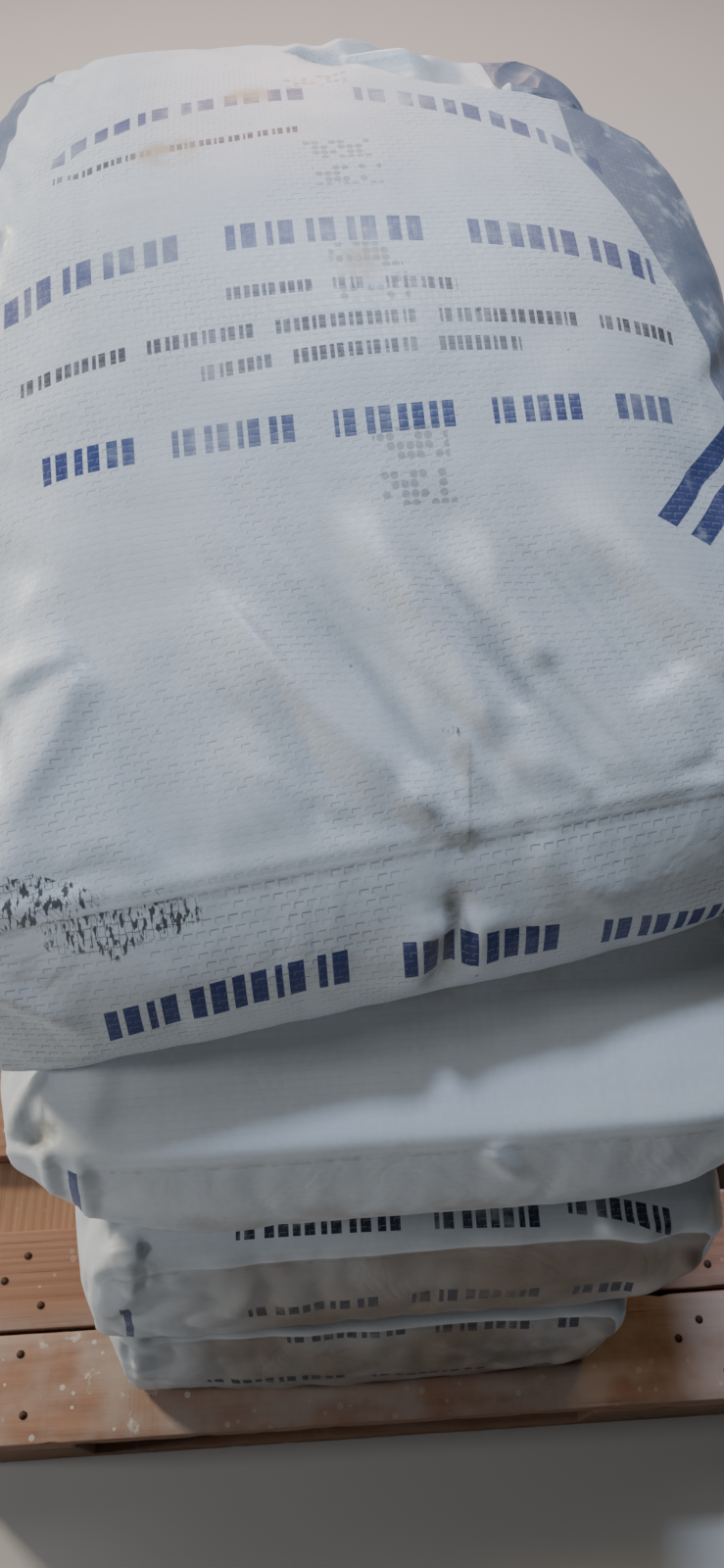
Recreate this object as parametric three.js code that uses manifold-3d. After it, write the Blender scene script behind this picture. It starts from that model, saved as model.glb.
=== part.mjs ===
// Four filled block-bottom sacks of powder, piled flat on the front left part of a wooden block pallet.
// Millimetres, +Z up. The origin is on the floor under the middle of the pallet. +X runs along the
// deck boards, and the near ends of the sacks face -Y.
import * as THREE from 'three';
import { mergeVertices } from 'three/addons/utils/BufferGeometryUtils.js';
import Module from 'manifold-3d';

const wasm = await Module();
wasm.setup();

// Pallet
const PALLET_LENGTH = 1200; // along X, as the deck boards run
const PALLET_WIDTH = 1000; // along Y
const BOARD_THICKNESS = 22; // deck, cross and bottom boards alike
const BLOCK_HEIGHT = 78;
const CROSS_BOARD_WIDTH = 130;
const OUTER_BOTTOM_WIDTH = 100; // front and back bottom boards, and the blocks on them
const MIDDLE_BOTTOM_WIDTH = 140;
const BOARD_EDGE = 1.5; // eased corner along a sawn board

// Deck: a pair of lead boards close together at each side, and wider gaps between
const LEAD_WIDTH = 78;
const SECOND_WIDTH = 76;
const LEAD_GAP = 2;
const INNER_WIDTH = 96;
const INNER_COUNT = 4;

// Sacks
const SACK_LENGTH = 620;
const NEAR_THICKNESS = 135; // a sack's height at its near end, under the load
const FAR_THICKNESS = 150; // and at its far end
const PILE_CROWN = 12; // extra height that each sack gives the pile at its middle
const TOP_NEAR = 532; // height of the topmost sack's near edge above the deck
const TOP_CLIMB = 117; // how far its free top climbs from there
const CLIMB_SHARE = 0.65; // share of its length over which it climbs
const TOP_FALL = 46; // how far the top falls again to the far edge
const FALL_SHARE = 0.4; // share of its length over which it falls
const SACK_EDGE = 7; // rounded edge between a block end and the long faces
const UNDERSIDE_SAG = 16; // extra belly below, which the sack beneath then shapes
const SOFT_GAP = 0.6; // clearance between two sacks in the pile
const SECTION_MIDDLE = 3.0; // superellipse power half way along: round sides
const SECTION_FREE_END = 3.4; // and at the far end of the topmost sack

// Number of faces across, along and up a sack
const FACES_ACROSS = 12;
const FACES_ALONG = 16;
const FACES_UP = 6;

// Where each sack lies, from the bottom up, and its widths: front is the Y of the foot of its near
// end, lean is how far the top of that end is set back, twist is how much more it leans on its right,
// shear is how far its foot stands to the left of its top, skew is how far its right half is turned
// away, bulge is how far the block ends swell outward, pull is how far their upright corners are drawn
// in, and corner is the superellipse power that squares their outline.
const SACKS = [
  {
    name: 'sack_1', x: -236, front: -468, turn: 0, lean: 14, twist: 0, shear: 12, skew: 0,
    bulge: 10, pull: 0, corner: 16, nearWidth: 350, bellyWidth: 434, farWidth: 390,
  },
  {
    name: 'sack_2', x: -209, front: -446, turn: -0.6, lean: 14, twist: 0, shear: 22, skew: 4,
    bulge: 14, pull: 0, corner: 16, nearWidth: 382, bellyWidth: 440, farWidth: 396,
  },
  {
    name: 'sack_3', x: -221, front: -392, turn: 0.4, lean: -18, twist: 0, shear: 0, skew: 0,
    bulge: 26, pull: 18, corner: 6, nearWidth: 428, bellyWidth: 456, farWidth: 406,
  },
  {
    name: 'sack_4', x: -233, front: -325, turn: 3, lean: 17.5, twist: -4.5, shear: 0, skew: 27,
    bulge: 30, pull: 6, corner: 8, nearWidth: 448, bellyWidth: 472, farWidth: 400,
  },
];

const DECK_TOP = 3 * BOARD_THICKNESS + BLOCK_HEIGHT;
const CROSS_LEVEL = BOARD_THICKNESS + BLOCK_HEIGHT;
const INNER_GAP = (PALLET_WIDTH - 2 * (LEAD_WIDTH + LEAD_GAP + SECOND_WIDTH) - INNER_COUNT * INNER_WIDTH)
  / (INNER_COUNT + 1);

const material = (colour, roughness) => new THREE.MeshStandardMaterial({ color: colour, roughness, metalness: 0 });
const deckWood = material(0xb98a66, 0.82);
const frameWood = material(0xa67a58, 0.85);
const blockWood = material(0x94704f, 0.88);
const wovenFabric = material(0xc3c8cb, 0.55);

const lerp = (from, to, share) => from + (to - from) * share;
const smooth = (share) => share * share * (3 - 2 * share);

// A sawn board or block: sizes along X, Y and Z, its longest edges eased, centred on its own middle.
function sawnTimber(sizeX, sizeY, sizeZ) {
  const alongX = sizeX >= sizeY;
  const halfWide = (alongX ? sizeY : sizeX) / 2;
  const halfHigh = sizeZ / 2;
  const section = new THREE.Shape();
  section.moveTo(-halfWide + BOARD_EDGE, -halfHigh);
  section.lineTo(halfWide - BOARD_EDGE, -halfHigh);
  section.lineTo(halfWide, -halfHigh + BOARD_EDGE);
  section.lineTo(halfWide, halfHigh - BOARD_EDGE);
  section.lineTo(halfWide - BOARD_EDGE, halfHigh);
  section.lineTo(-halfWide + BOARD_EDGE, halfHigh);
  section.lineTo(-halfWide, halfHigh - BOARD_EDGE);
  section.lineTo(-halfWide, -halfHigh + BOARD_EDGE);
  section.closePath();
  const length = alongX ? sizeX : sizeY;
  const timber = new THREE.ExtrudeGeometry(section, { depth: length, bevelEnabled: false, steps: 1 });
  timber.translate(0, 0, -length / 2);
  timber.rotateX(Math.PI / 2);
  if (alongX) timber.rotateZ(Math.PI / 2);
  return timber;
}

function addTimber(group, name, wood, size, place) {
  const mesh = new THREE.Mesh(sawnTimber(...size), wood);
  mesh.name = name;
  mesh.position.set(...place);
  group.add(mesh);
}

// The Y of each deck board's middle and its width, from the front to the back.
function deckLayout() {
  const widths = [LEAD_WIDTH, SECOND_WIDTH, ...Array(INNER_COUNT).fill(INNER_WIDTH), SECOND_WIDTH, LEAD_WIDTH];
  const last = widths.length - 1;
  let edge = -PALLET_WIDTH / 2;
  return widths.map((width, index) => {
    const middle = edge + width / 2;
    const closeGap = index === 0 || index === last - 1;
    edge += width + (closeGap ? LEAD_GAP : INNER_GAP);
    return { middle, width };
  });
}

function buildPallet() {
  const pallet = new THREE.Group();
  deckLayout().forEach(({ middle, width }, index) => {
    addTimber(pallet, `deck_board_${index + 1}`, deckWood,
      [PALLET_LENGTH, width, BOARD_THICKNESS], [0, middle, DECK_TOP - BOARD_THICKNESS / 2]);
  });

  const columnX = (PALLET_LENGTH - CROSS_BOARD_WIDTH) / 2;
  const rowY = (PALLET_WIDTH - OUTER_BOTTOM_WIDTH) / 2;
  const columns = [['left', -columnX], ['middle', 0], ['right', columnX]];
  const rows = [
    ['front', -rowY, OUTER_BOTTOM_WIDTH],
    ['centre', 0, MIDDLE_BOTTOM_WIDTH],
    ['back', rowY, OUTER_BOTTOM_WIDTH],
  ];
  for (const [side, x] of columns) {
    addTimber(pallet, `cross_board_${side}`, frameWood,
      [CROSS_BOARD_WIDTH, PALLET_WIDTH, BOARD_THICKNESS], [x, 0, CROSS_LEVEL + BOARD_THICKNESS / 2]);
  }
  for (const [row, y, depth] of rows) {
    addTimber(pallet, `bottom_board_${row}`, frameWood,
      [PALLET_LENGTH, depth, BOARD_THICKNESS], [0, y, BOARD_THICKNESS / 2]);
    for (const [side, x] of columns) {
      addTimber(pallet, `block_${row}_${side}`, blockWood,
        [CROSS_BOARD_WIDTH, depth, BLOCK_HEIGHT], [x, y, BOARD_THICKNESS + BLOCK_HEIGHT / 2]);
    }
  }
  return pallet;
}

// Height of the pile's surface above the deck over the given number of sacks: along is 0 at the near
// end and 1 at the far end. The pile is higher at its middle, and higher at the far end.
function pileHeight(count, along) {
  const dome = 1 - (2 * along - 1) ** 2;
  return count * (lerp(NEAR_THICKNESS, FAR_THICKNESS, along) + PILE_CROWN * dome);
}

// The free top of the topmost sack climbs slowly from its near edge and stays high to the far end.
function freeTop(along) {
  const start = Math.min(1, along / CLIMB_SHARE);
  const climb = (smooth(start) + Math.sin(start * Math.PI / 2)) / 2;
  const fall = Math.max(0, 1 - (1 - along) / FALL_SHARE) ** 3;
  return TOP_NEAR + TOP_CLIMB * climb - TOP_FALL * fall;
}

// Moves one point of a cube, whose sides run from -1 to 1, onto the surface of a sack.
function sackPoint(point, sack, level) {
  // Faces are closer together near the edges of the cube, where the sack curves most
  const [across, along, up] = [point.x, point.y, point.z].map((value) => value * (1.5 - 0.5 * value * value));
  const share = (along + 1) / 2;
  const ending = Math.abs(along) ** 4;
  const topmost = level === SACKS.length;

  // Rounded edge of the block ends, as an inset of the section
  const pastEdge = Math.max(0, Math.abs(along) * SACK_LENGTH / 2 - (SACK_LENGTH / 2 - SACK_EDGE)) / SACK_EDGE;
  const inset = SACK_EDGE * (1 - Math.sqrt(Math.max(0, 1 - pastEdge * pastEdge)));

  const low = pileHeight(level - 1, share) - UNDERSIDE_SAG * (1 - ending) + inset;
  const high = (topmost ? freeTop(share) : pileHeight(level, share)) - inset;
  const endWidth = along < 0 ? sack.nearWidth : sack.farWidth;
  const halfWide = lerp(sack.bellyWidth, endWidth, along * along) / 2 - inset;

  // The square section becomes a superellipse, rounder half way along than at the ends
  const reach = Math.max(Math.abs(across), Math.abs(up));
  const endPower = topmost && along > 0 ? SECTION_FREE_END : sack.corner;
  const power = lerp(SECTION_MIDDLE, endPower, ending);
  const edge = reach > 0 ? [across / reach, up / reach] : [0, 0];
  const shrink = (Math.abs(edge[0]) ** power + Math.abs(edge[1]) ** power) ** (-1 / power);
  const side = reach > 0 ? across * shrink : 0;
  const lift = reach > 0 ? up * shrink : 0;

  const bulge = sack.bulge * (1 - lift * lift) * (1 - 0.6 * side ** 4);
  const outward = ending * (bulge - sack.pull * Math.abs(side) ** 6);
  const nearness = (1 - share) ** 2;
  const x = side * halfWide + nearness * sack.shear * (lift - 1) / 2;
  const y = share * SACK_LENGTH + Math.sign(along) * outward
    + nearness * ((sack.lean + sack.twist * side) * (lift + 1) / 2 + sack.skew * side);
  const z = (low + high) / 2 + lift * (high - low) / 2;
  return new THREE.Vector3(x, y, z);
}

function sackGeometry(sack, level) {
  const cube = new THREE.BoxGeometry(2, 2, 2, FACES_ACROSS, FACES_ALONG, FACES_UP);
  cube.deleteAttribute('normal');
  cube.deleteAttribute('uv');
  const geometry = mergeVertices(cube);
  const place = geometry.attributes.position;
  const point = new THREE.Vector3();
  for (let index = 0; index < place.count; index += 1) {
    point.fromBufferAttribute(place, index);
    const moved = sackPoint(point, sack, level);
    place.setXYZ(index, moved.x, moved.y, moved.z);
  }
  geometry.translate(0, -SACK_LENGTH / 2, 0);
  geometry.rotateZ(THREE.MathUtils.degToRad(sack.turn));
  geometry.translate(sack.x, sack.front + SACK_LENGTH / 2, DECK_TOP);
  return geometry;
}

function toSolid(geometry) {
  const vertProperties = Float32Array.from(geometry.attributes.position.array);
  const triVerts = Uint32Array.from(geometry.index.array);
  return new wasm.Manifold(new wasm.Mesh({ numProp: 3, vertProperties, triVerts }));
}

function toGeometry(solid) {
  const { vertProperties, triVerts } = solid.getMesh();
  const geometry = new THREE.BufferGeometry();
  geometry.setAttribute('position', new THREE.BufferAttribute(Float32Array.from(vertProperties), 3));
  geometry.setIndex(Array.from(triVerts));
  geometry.computeVertexNormals();
  return geometry;
}

// Everything under the given height, as a cutter for the sack that lies flat on the deck.
function slabBelow(height) {
  const depth = 200;
  const slab = new THREE.BoxGeometry(2 * PALLET_LENGTH, 2 * PALLET_WIDTH, depth);
  slab.deleteAttribute('normal');
  slab.deleteAttribute('uv');
  const solid = mergeVertices(slab);
  solid.translate(0, 0, height - depth / 2);
  return toSolid(solid);
}

function buildSacks() {
  const pile = new THREE.Group();
  let beneath = slabBelow(DECK_TOP);
  SACKS.forEach((sack, index) => {
    const filled = toSolid(sackGeometry(sack, index + 1));
    const lying = filled.subtract(beneath);
    const mesh = new THREE.Mesh(toGeometry(lying), wovenFabric);
    mesh.name = sack.name;
    pile.add(mesh);
    beneath = lying.translate([0, 0, SOFT_GAP]);
  });
  return pile;
}

const palletOfSacks = new THREE.Group();
palletOfSacks.name = 'pallet_of_sacks';
palletOfSacks.add(buildPallet(), buildSacks());

export default palletOfSacks;
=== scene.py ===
"""Pallet of sacks: four filled block-bottom sacks of woven fabric, piled flat on a wooden block pallet.

Metres, +Z up. The origin is on the floor under the middle of the pallet, +X runs along the deck boards,
and the near ends of the sacks face -Y.
"""

import logging
import math
from dataclasses import dataclass
from enum import Enum

import bmesh
import bpy
import numpy as np
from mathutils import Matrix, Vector, noise
from mathutils.bvhtree import BVHTree


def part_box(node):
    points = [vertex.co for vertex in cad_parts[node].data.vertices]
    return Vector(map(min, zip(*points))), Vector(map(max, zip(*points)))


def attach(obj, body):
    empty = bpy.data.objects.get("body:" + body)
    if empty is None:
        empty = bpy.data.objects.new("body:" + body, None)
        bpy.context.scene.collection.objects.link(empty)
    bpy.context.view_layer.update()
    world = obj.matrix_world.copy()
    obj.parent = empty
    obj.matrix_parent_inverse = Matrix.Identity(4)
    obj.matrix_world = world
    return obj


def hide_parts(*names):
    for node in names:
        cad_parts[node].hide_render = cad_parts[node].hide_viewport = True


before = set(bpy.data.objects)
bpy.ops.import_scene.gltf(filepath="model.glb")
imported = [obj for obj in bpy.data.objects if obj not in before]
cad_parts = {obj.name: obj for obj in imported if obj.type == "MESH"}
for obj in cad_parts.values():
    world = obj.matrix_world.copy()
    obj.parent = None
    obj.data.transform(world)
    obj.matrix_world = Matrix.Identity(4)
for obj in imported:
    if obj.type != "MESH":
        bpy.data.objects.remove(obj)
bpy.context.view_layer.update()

Colour = tuple[float, float, float]
Point = tuple[float, float]

logging.basicConfig(level=logging.INFO, format="%(message)s")
log = logging.getLogger("pallet_of_sacks")

BODY = "root"
ABOVE_PILE = 2.0
NO_FLOOR = -1.0


def lerp(start: float, end: float | np.ndarray, share: np.ndarray) -> np.ndarray:
    """Goes evenly from start to end as share goes from 0 to 1."""
    return start + (end - start) * share


def smooth(share: np.ndarray) -> np.ndarray:
    """Eases a share from 0 to 1, level at both ends."""
    share = np.clip(share, 0.0, 1.0)
    return share * share * (3.0 - 2.0 * share)


def crowd(place: np.ndarray) -> np.ndarray:
    """Moves places on a line from -1 to 1 a little closer together towards its two ends."""
    return place * (1.2 - 0.2 * place * place)


def make_object(name: str, mesh: bmesh.types.BMesh) -> bpy.types.Object:
    """Turns a bmesh into an object at the origin.

    Args:
        name: The piece's name.
        mesh: The bmesh, which is freed.

    Returns:
        The new object, linked to the scene.
    """
    data = bpy.data.meshes.new(name)
    mesh.to_mesh(data)
    mesh.free()
    piece = bpy.data.objects.new(name, data)
    bpy.context.collection.objects.link(piece)
    return piece


def read_points(data: bpy.types.Mesh) -> np.ndarray:
    """The mesh's points, one row each."""
    flat = np.empty(len(data.vertices) * 3)
    data.vertices.foreach_get("co", flat)
    return flat.reshape(-1, 3)


def write_points(data: bpy.types.Mesh, points: np.ndarray) -> None:
    """Moves the mesh's points to the given rows."""
    data.vertices.foreach_set("co", points.ravel())
    data.update()


def read_normals(data: bpy.types.Mesh) -> np.ndarray:
    """The mesh's smooth normals, one row for each point."""
    flat = np.empty(len(data.vertices) * 3)
    data.vertex_normals.foreach_get("vector", flat)
    return flat.reshape(-1, 3)


def dress(piece: bpy.types.Object, material: bpy.types.Material, slot: str | None) -> None:
    """Gives a piece its material, smooths its shading and fixes it to the part.

    Args:
        piece: The piece.
        material: Its finish.
        slot: The record's material slot, or None where the record has none for it; not used.
    """
    piece.data.materials.clear()
    piece.data.materials.append(material)
    piece.data.shade_smooth()
    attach(piece, BODY)


class Signal:
    """A number that a shader works out at each point, written with the usual signs."""

    def __init__(self, bench: "Bench", socket: bpy.types.NodeSocket) -> None:
        """Wraps one output socket of the bench's node tree."""
        self.bench = bench
        self.socket = socket

    def __add__(self, other: "Signal | float") -> "Signal":
        """Sum."""
        return self.bench.math("ADD", self, other)

    __radd__ = __add__

    def __sub__(self, other: "Signal | float") -> "Signal":
        """Difference."""
        return self.bench.math("SUBTRACT", self, other)

    def __rsub__(self, other: float) -> "Signal":
        """Difference from a plain number."""
        return self.bench.math("SUBTRACT", other, self)

    def __mul__(self, other: "Signal | float") -> "Signal":
        """Product."""
        return self.bench.math("MULTIPLY", self, other)

    __rmul__ = __mul__

    def __truediv__(self, other: float) -> "Signal":
        """Quotient by a plain number."""
        return self.bench.math("DIVIDE", self, other)

    def __pow__(self, other: float) -> "Signal":
        """Power."""
        return self.bench.math("POWER", self, other)

    def __abs__(self) -> "Signal":
        """Size without sign."""
        return self.bench.math("ABSOLUTE", self)

    def floor(self) -> "Signal":
        """Whole part."""
        return self.bench.math("FLOOR", self)

    def fract(self) -> "Signal":
        """Part after the point."""
        return self.bench.math("FRACT", self)

    def sine(self) -> "Signal":
        """Sine of an angle in radians."""
        return self.bench.math("SINE", self)

    def clip(self) -> "Signal":
        """Held between 0 and 1."""
        return self.bench.math("ADD", self, 0.0, clamp=True)

    def most(self, other: "Signal") -> "Signal":
        """The larger of two."""
        return self.bench.math("MAXIMUM", self, other)

    def rise(self, low: float, high: float) -> "Signal":
        """0 below low, 1 above high and eased between; low may be the larger."""
        return self.bench.rise(self, low, high)

    def below(self, edge: "Signal | float") -> "Signal":
        """1 where it is less than edge, and 0 elsewhere."""
        return self.bench.math("LESS_THAN", self, edge)

    def above(self, edge: "Signal | float") -> "Signal":
        """1 where it is more than edge, and 0 elsewhere."""
        return self.bench.math("GREATER_THAN", self, edge)


class Bench:
    """Builds one material: adds shader nodes, joins them and feeds its one principled shader."""

    def __init__(self, name: str) -> None:
        """Starts an empty material with a principled shader on its output."""
        self.material = bpy.data.materials.new(name)
        self.material.use_nodes = True
        self.tree = self.material.node_tree
        self.tree.nodes.clear()
        self.shader = self.tree.nodes.new("ShaderNodeBsdfPrincipled")
        output = self.tree.nodes.new("ShaderNodeOutputMaterial")
        self.tree.links.new(self.shader.outputs["BSDF"], output.inputs["Surface"])

    def set(self, socket: bpy.types.NodeSocket, value: object) -> None:
        """Joins or sets one input socket, whichever the value calls for."""
        if isinstance(value, Signal):
            self.tree.links.new(value.socket, socket)
        elif isinstance(value, bpy.types.NodeSocket):
            self.tree.links.new(value, socket)
        elif isinstance(value, tuple) and socket.type == "RGBA":
            socket.default_value = (*value, 1.0)
        else:
            socket.default_value = value

    def math(self, operation: str, *inputs: "Signal | float", clamp: bool = False) -> Signal:
        """One Math node of the given operation."""
        node = self.tree.nodes.new("ShaderNodeMath")
        node.operation = operation
        node.use_clamp = clamp
        for socket, value in zip(node.inputs, inputs):
            self.set(socket, value)
        return Signal(self, node.outputs[0])

    def rise(self, value: Signal, low: float, high: float) -> Signal:
        """A smooth step from 0 at low to 1 at high."""
        node = self.tree.nodes.new("ShaderNodeMapRange")
        node.interpolation_type = "SMOOTHSTEP"
        swapped = low > high
        self.set(node.inputs["Value"], value)
        self.set(node.inputs["From Min"], min(low, high))
        self.set(node.inputs["From Max"], max(low, high))
        self.set(node.inputs["To Min"], 1.0 if swapped else 0.0)
        self.set(node.inputs["To Max"], 0.0 if swapped else 1.0)
        return Signal(self, node.outputs["Result"])

    def split(self, vector: bpy.types.NodeSocket) -> tuple[Signal, Signal, Signal]:
        """The three parts of a vector."""
        node = self.tree.nodes.new("ShaderNodeSeparateXYZ")
        self.set(node.inputs[0], vector)
        return tuple(Signal(self, socket) for socket in node.outputs)

    def join(self, x: "Signal | float", y: "Signal | float",
             z: "Signal | float" = 0.0) -> bpy.types.NodeSocket:
        """A vector of three parts."""
        node = self.tree.nodes.new("ShaderNodeCombineXYZ")
        for socket, value in zip(node.inputs, (x, y, z)):
            self.set(socket, value)
        return node.outputs[0]

    def attribute(self, name: str) -> bpy.types.NodeSocket:
        """The vector that the piece's own attribute of this name holds."""
        node = self.tree.nodes.new("ShaderNodeAttribute")
        node.attribute_name = name
        return node.outputs["Vector"]

    def place(self) -> bpy.types.NodeSocket:
        """The point's place in metres, in the part's frame."""
        return self.tree.nodes.new("ShaderNodeTexCoord").outputs["Object"]

    def facing(self) -> bpy.types.NodeSocket:
        """The surface's own normal, without bumps."""
        return self.tree.nodes.new("ShaderNodeNewGeometry").outputs["Normal"]

    def grain(self, vector: bpy.types.NodeSocket, scale: float, detail: float = 2.0, rough: float = 0.5,
              skew: float = 0.0) -> Signal:
        """Soft noise, from 0 to 1."""
        node = self.tree.nodes.new("ShaderNodeTexNoise")
        self.set(node.inputs["Vector"], vector)
        self.set(node.inputs["Scale"], scale)
        self.set(node.inputs["Detail"], detail)
        self.set(node.inputs["Roughness"], rough)
        self.set(node.inputs["Distortion"], skew)
        return Signal(self, node.outputs["Fac"])

    def chance(self, vector: bpy.types.NodeSocket) -> Signal:
        """A fixed random number, from 0 to 1, for each value of the vector."""
        node = self.tree.nodes.new("ShaderNodeTexWhiteNoise")
        self.set(node.inputs["Vector"], vector)
        return Signal(self, node.outputs["Value"])

    def cells(self, vector: bpy.types.NodeSocket, scale: float) -> tuple[Signal, Signal]:
        """Distance to the middle of the nearest cell, and a random number for each cell."""
        node = self.tree.nodes.new("ShaderNodeTexVoronoi")
        self.set(node.inputs["Vector"], vector)
        self.set(node.inputs["Scale"], scale)
        chance, _, _ = self.split(node.outputs["Color"])
        return Signal(self, node.outputs["Distance"]), chance

    def mix(self, share: Signal, first: object, second: object) -> bpy.types.NodeSocket:
        """A colour that goes from first to second as share goes from 0 to 1."""
        node = self.tree.nodes.new("ShaderNodeMix")
        node.data_type = "RGBA"
        self.set(node.inputs["Factor"], share)
        self.set(node.inputs[6], first)
        self.set(node.inputs[7], second)
        return node.outputs[2]

    def shade(self, colour: object, brightness: Signal) -> bpy.types.NodeSocket:
        """A colour made lighter or darker by a number."""
        node = self.tree.nodes.new("ShaderNodeVectorMath")
        node.operation = "SCALE"
        self.set(node.inputs[0], colour)
        self.set(node.inputs["Scale"], brightness)
        return node.outputs[0]

    def bump(self, height: Signal, depth: float) -> None:
        """Raises the surface's shading by the height, from 0 to 1, times a depth in metres."""
        node = self.tree.nodes.new("ShaderNodeBump")
        self.set(node.inputs["Height"], height)
        self.set(node.inputs["Distance"], depth)
        self.set(node.inputs["Strength"], 1.0)
        if self.shader.inputs["Normal"].is_linked:
            self.tree.links.new(self.shader.inputs["Normal"].links[0].from_socket, node.inputs["Normal"])
        self.tree.links.new(node.outputs["Normal"], self.shader.inputs["Normal"])

    def feed(self, **inputs: object) -> None:
        """Sets the shader's inputs by name, with _ for each space."""
        for name, value in inputs.items():
            self.set(self.shader.inputs[name.replace("_", " ")], value)


def oval(x: Signal, y: Signal, middle: Point, reach: Point) -> Signal:
    """The square of the distance from the middle of an oval, where 1 is its outline."""
    return ((x - middle[0]) / reach[0]) ** 2.0 + ((y - middle[1]) / reach[1]) ** 2.0


class Face(Enum):
    """A side of a sack: which two of across, along and height a fold on it is placed by, and its way out."""

    TOP = (0, 1, (0.0, 0.0, 1.0))
    NEAR = (0, 2, (0.0, -1.0, 0.0))


@dataclass(frozen=True)
class Fold:
    """A ridge in the fabric, or with a negative height a groove, along a line on one face of a sack.

    Its left and right flanks, as seen from its start to its end, may differ in width: a narrow one is
    the edge of a folded layer. The bow is how far the middle of the line stands off to the left. It
    rises over a first share of its length and fades over a last one, where it is wider by the spread.
    It marks only fabric that faces out far enough.
    """

    face: Face
    start: Point
    end: Point
    height: float
    left: float
    right: float
    bow: float = 0.0
    spread: float = 0.0
    rises_over: float = 0.15
    fades_over: float = 0.45
    faces_from: float = 0.1
    faces_over: float = 0.35

    def lift(self, lay: np.ndarray, normals: np.ndarray) -> np.ndarray:
        """How far each point moves outwards.

        Args:
            lay: Each point's across, along and height on the sack, in metres.
            normals: Each point's normal in the sack's own axes.

        Returns:
            The outward move of each point, in metres.
        """
        first, second, outward = self.face.value
        start, end = np.array(self.start), np.array(self.end)
        length = np.linalg.norm(end - start)
        ahead = (end - start) / length
        offset = lay[:, (first, second)] - start
        share = offset @ ahead / length
        inside = np.clip(share, 0.0, 1.0)
        aside = offset @ np.array((-ahead[1], ahead[0])) - self.bow * 4.0 * inside * (1.0 - inside)
        flank = np.where(aside > 0.0, self.left, self.right) * (1.0 + self.spread * inside)
        profile = np.exp(-(aside / flank) ** 2)
        taper = smooth(inside / self.rises_over) * smooth((1.0 - inside) / self.fades_over)
        turned = smooth((normals @ np.array(outward) - self.faces_from) / self.faces_over)
        return self.height * profile * taper * turned


@dataclass(frozen=True)
class PileForm:
    """Heights of the pile above the deck and the common shape of the sacks, in metres."""

    sack_length: float = 0.620
    near_thickness: float = 0.135
    far_thickness: float = 0.150
    crown: float = 0.012
    top_near: float = 0.532
    top_climb: float = 0.117
    climb_share: float = 0.65
    top_fall: float = 0.046
    fall_share: float = 0.4
    edge: float = 0.007
    sag: float = 0.016
    section_middle: float = 3.0
    section_free_end: float = 3.4

    def height(self, count: int, along: np.ndarray) -> np.ndarray:
        """Height of the pile's surface over a number of sacks; along runs from 0, near, to 1, far."""
        dome = 1.0 - (2.0 * along - 1.0) ** 2
        return count * (lerp(self.near_thickness, self.far_thickness, along) + self.crown * dome)

    def free_top(self, along: np.ndarray) -> np.ndarray:
        """Height of the topmost sack's free top, which climbs from its near edge and stays high."""
        start = np.minimum(1.0, along / self.climb_share)
        climb = (smooth(start) + np.sin(start * np.pi / 2)) / 2
        fall = np.maximum(0.0, 1.0 - (1.0 - along) / self.fall_share) ** 3
        return self.top_near + self.top_climb * climb - self.top_fall * fall


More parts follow.
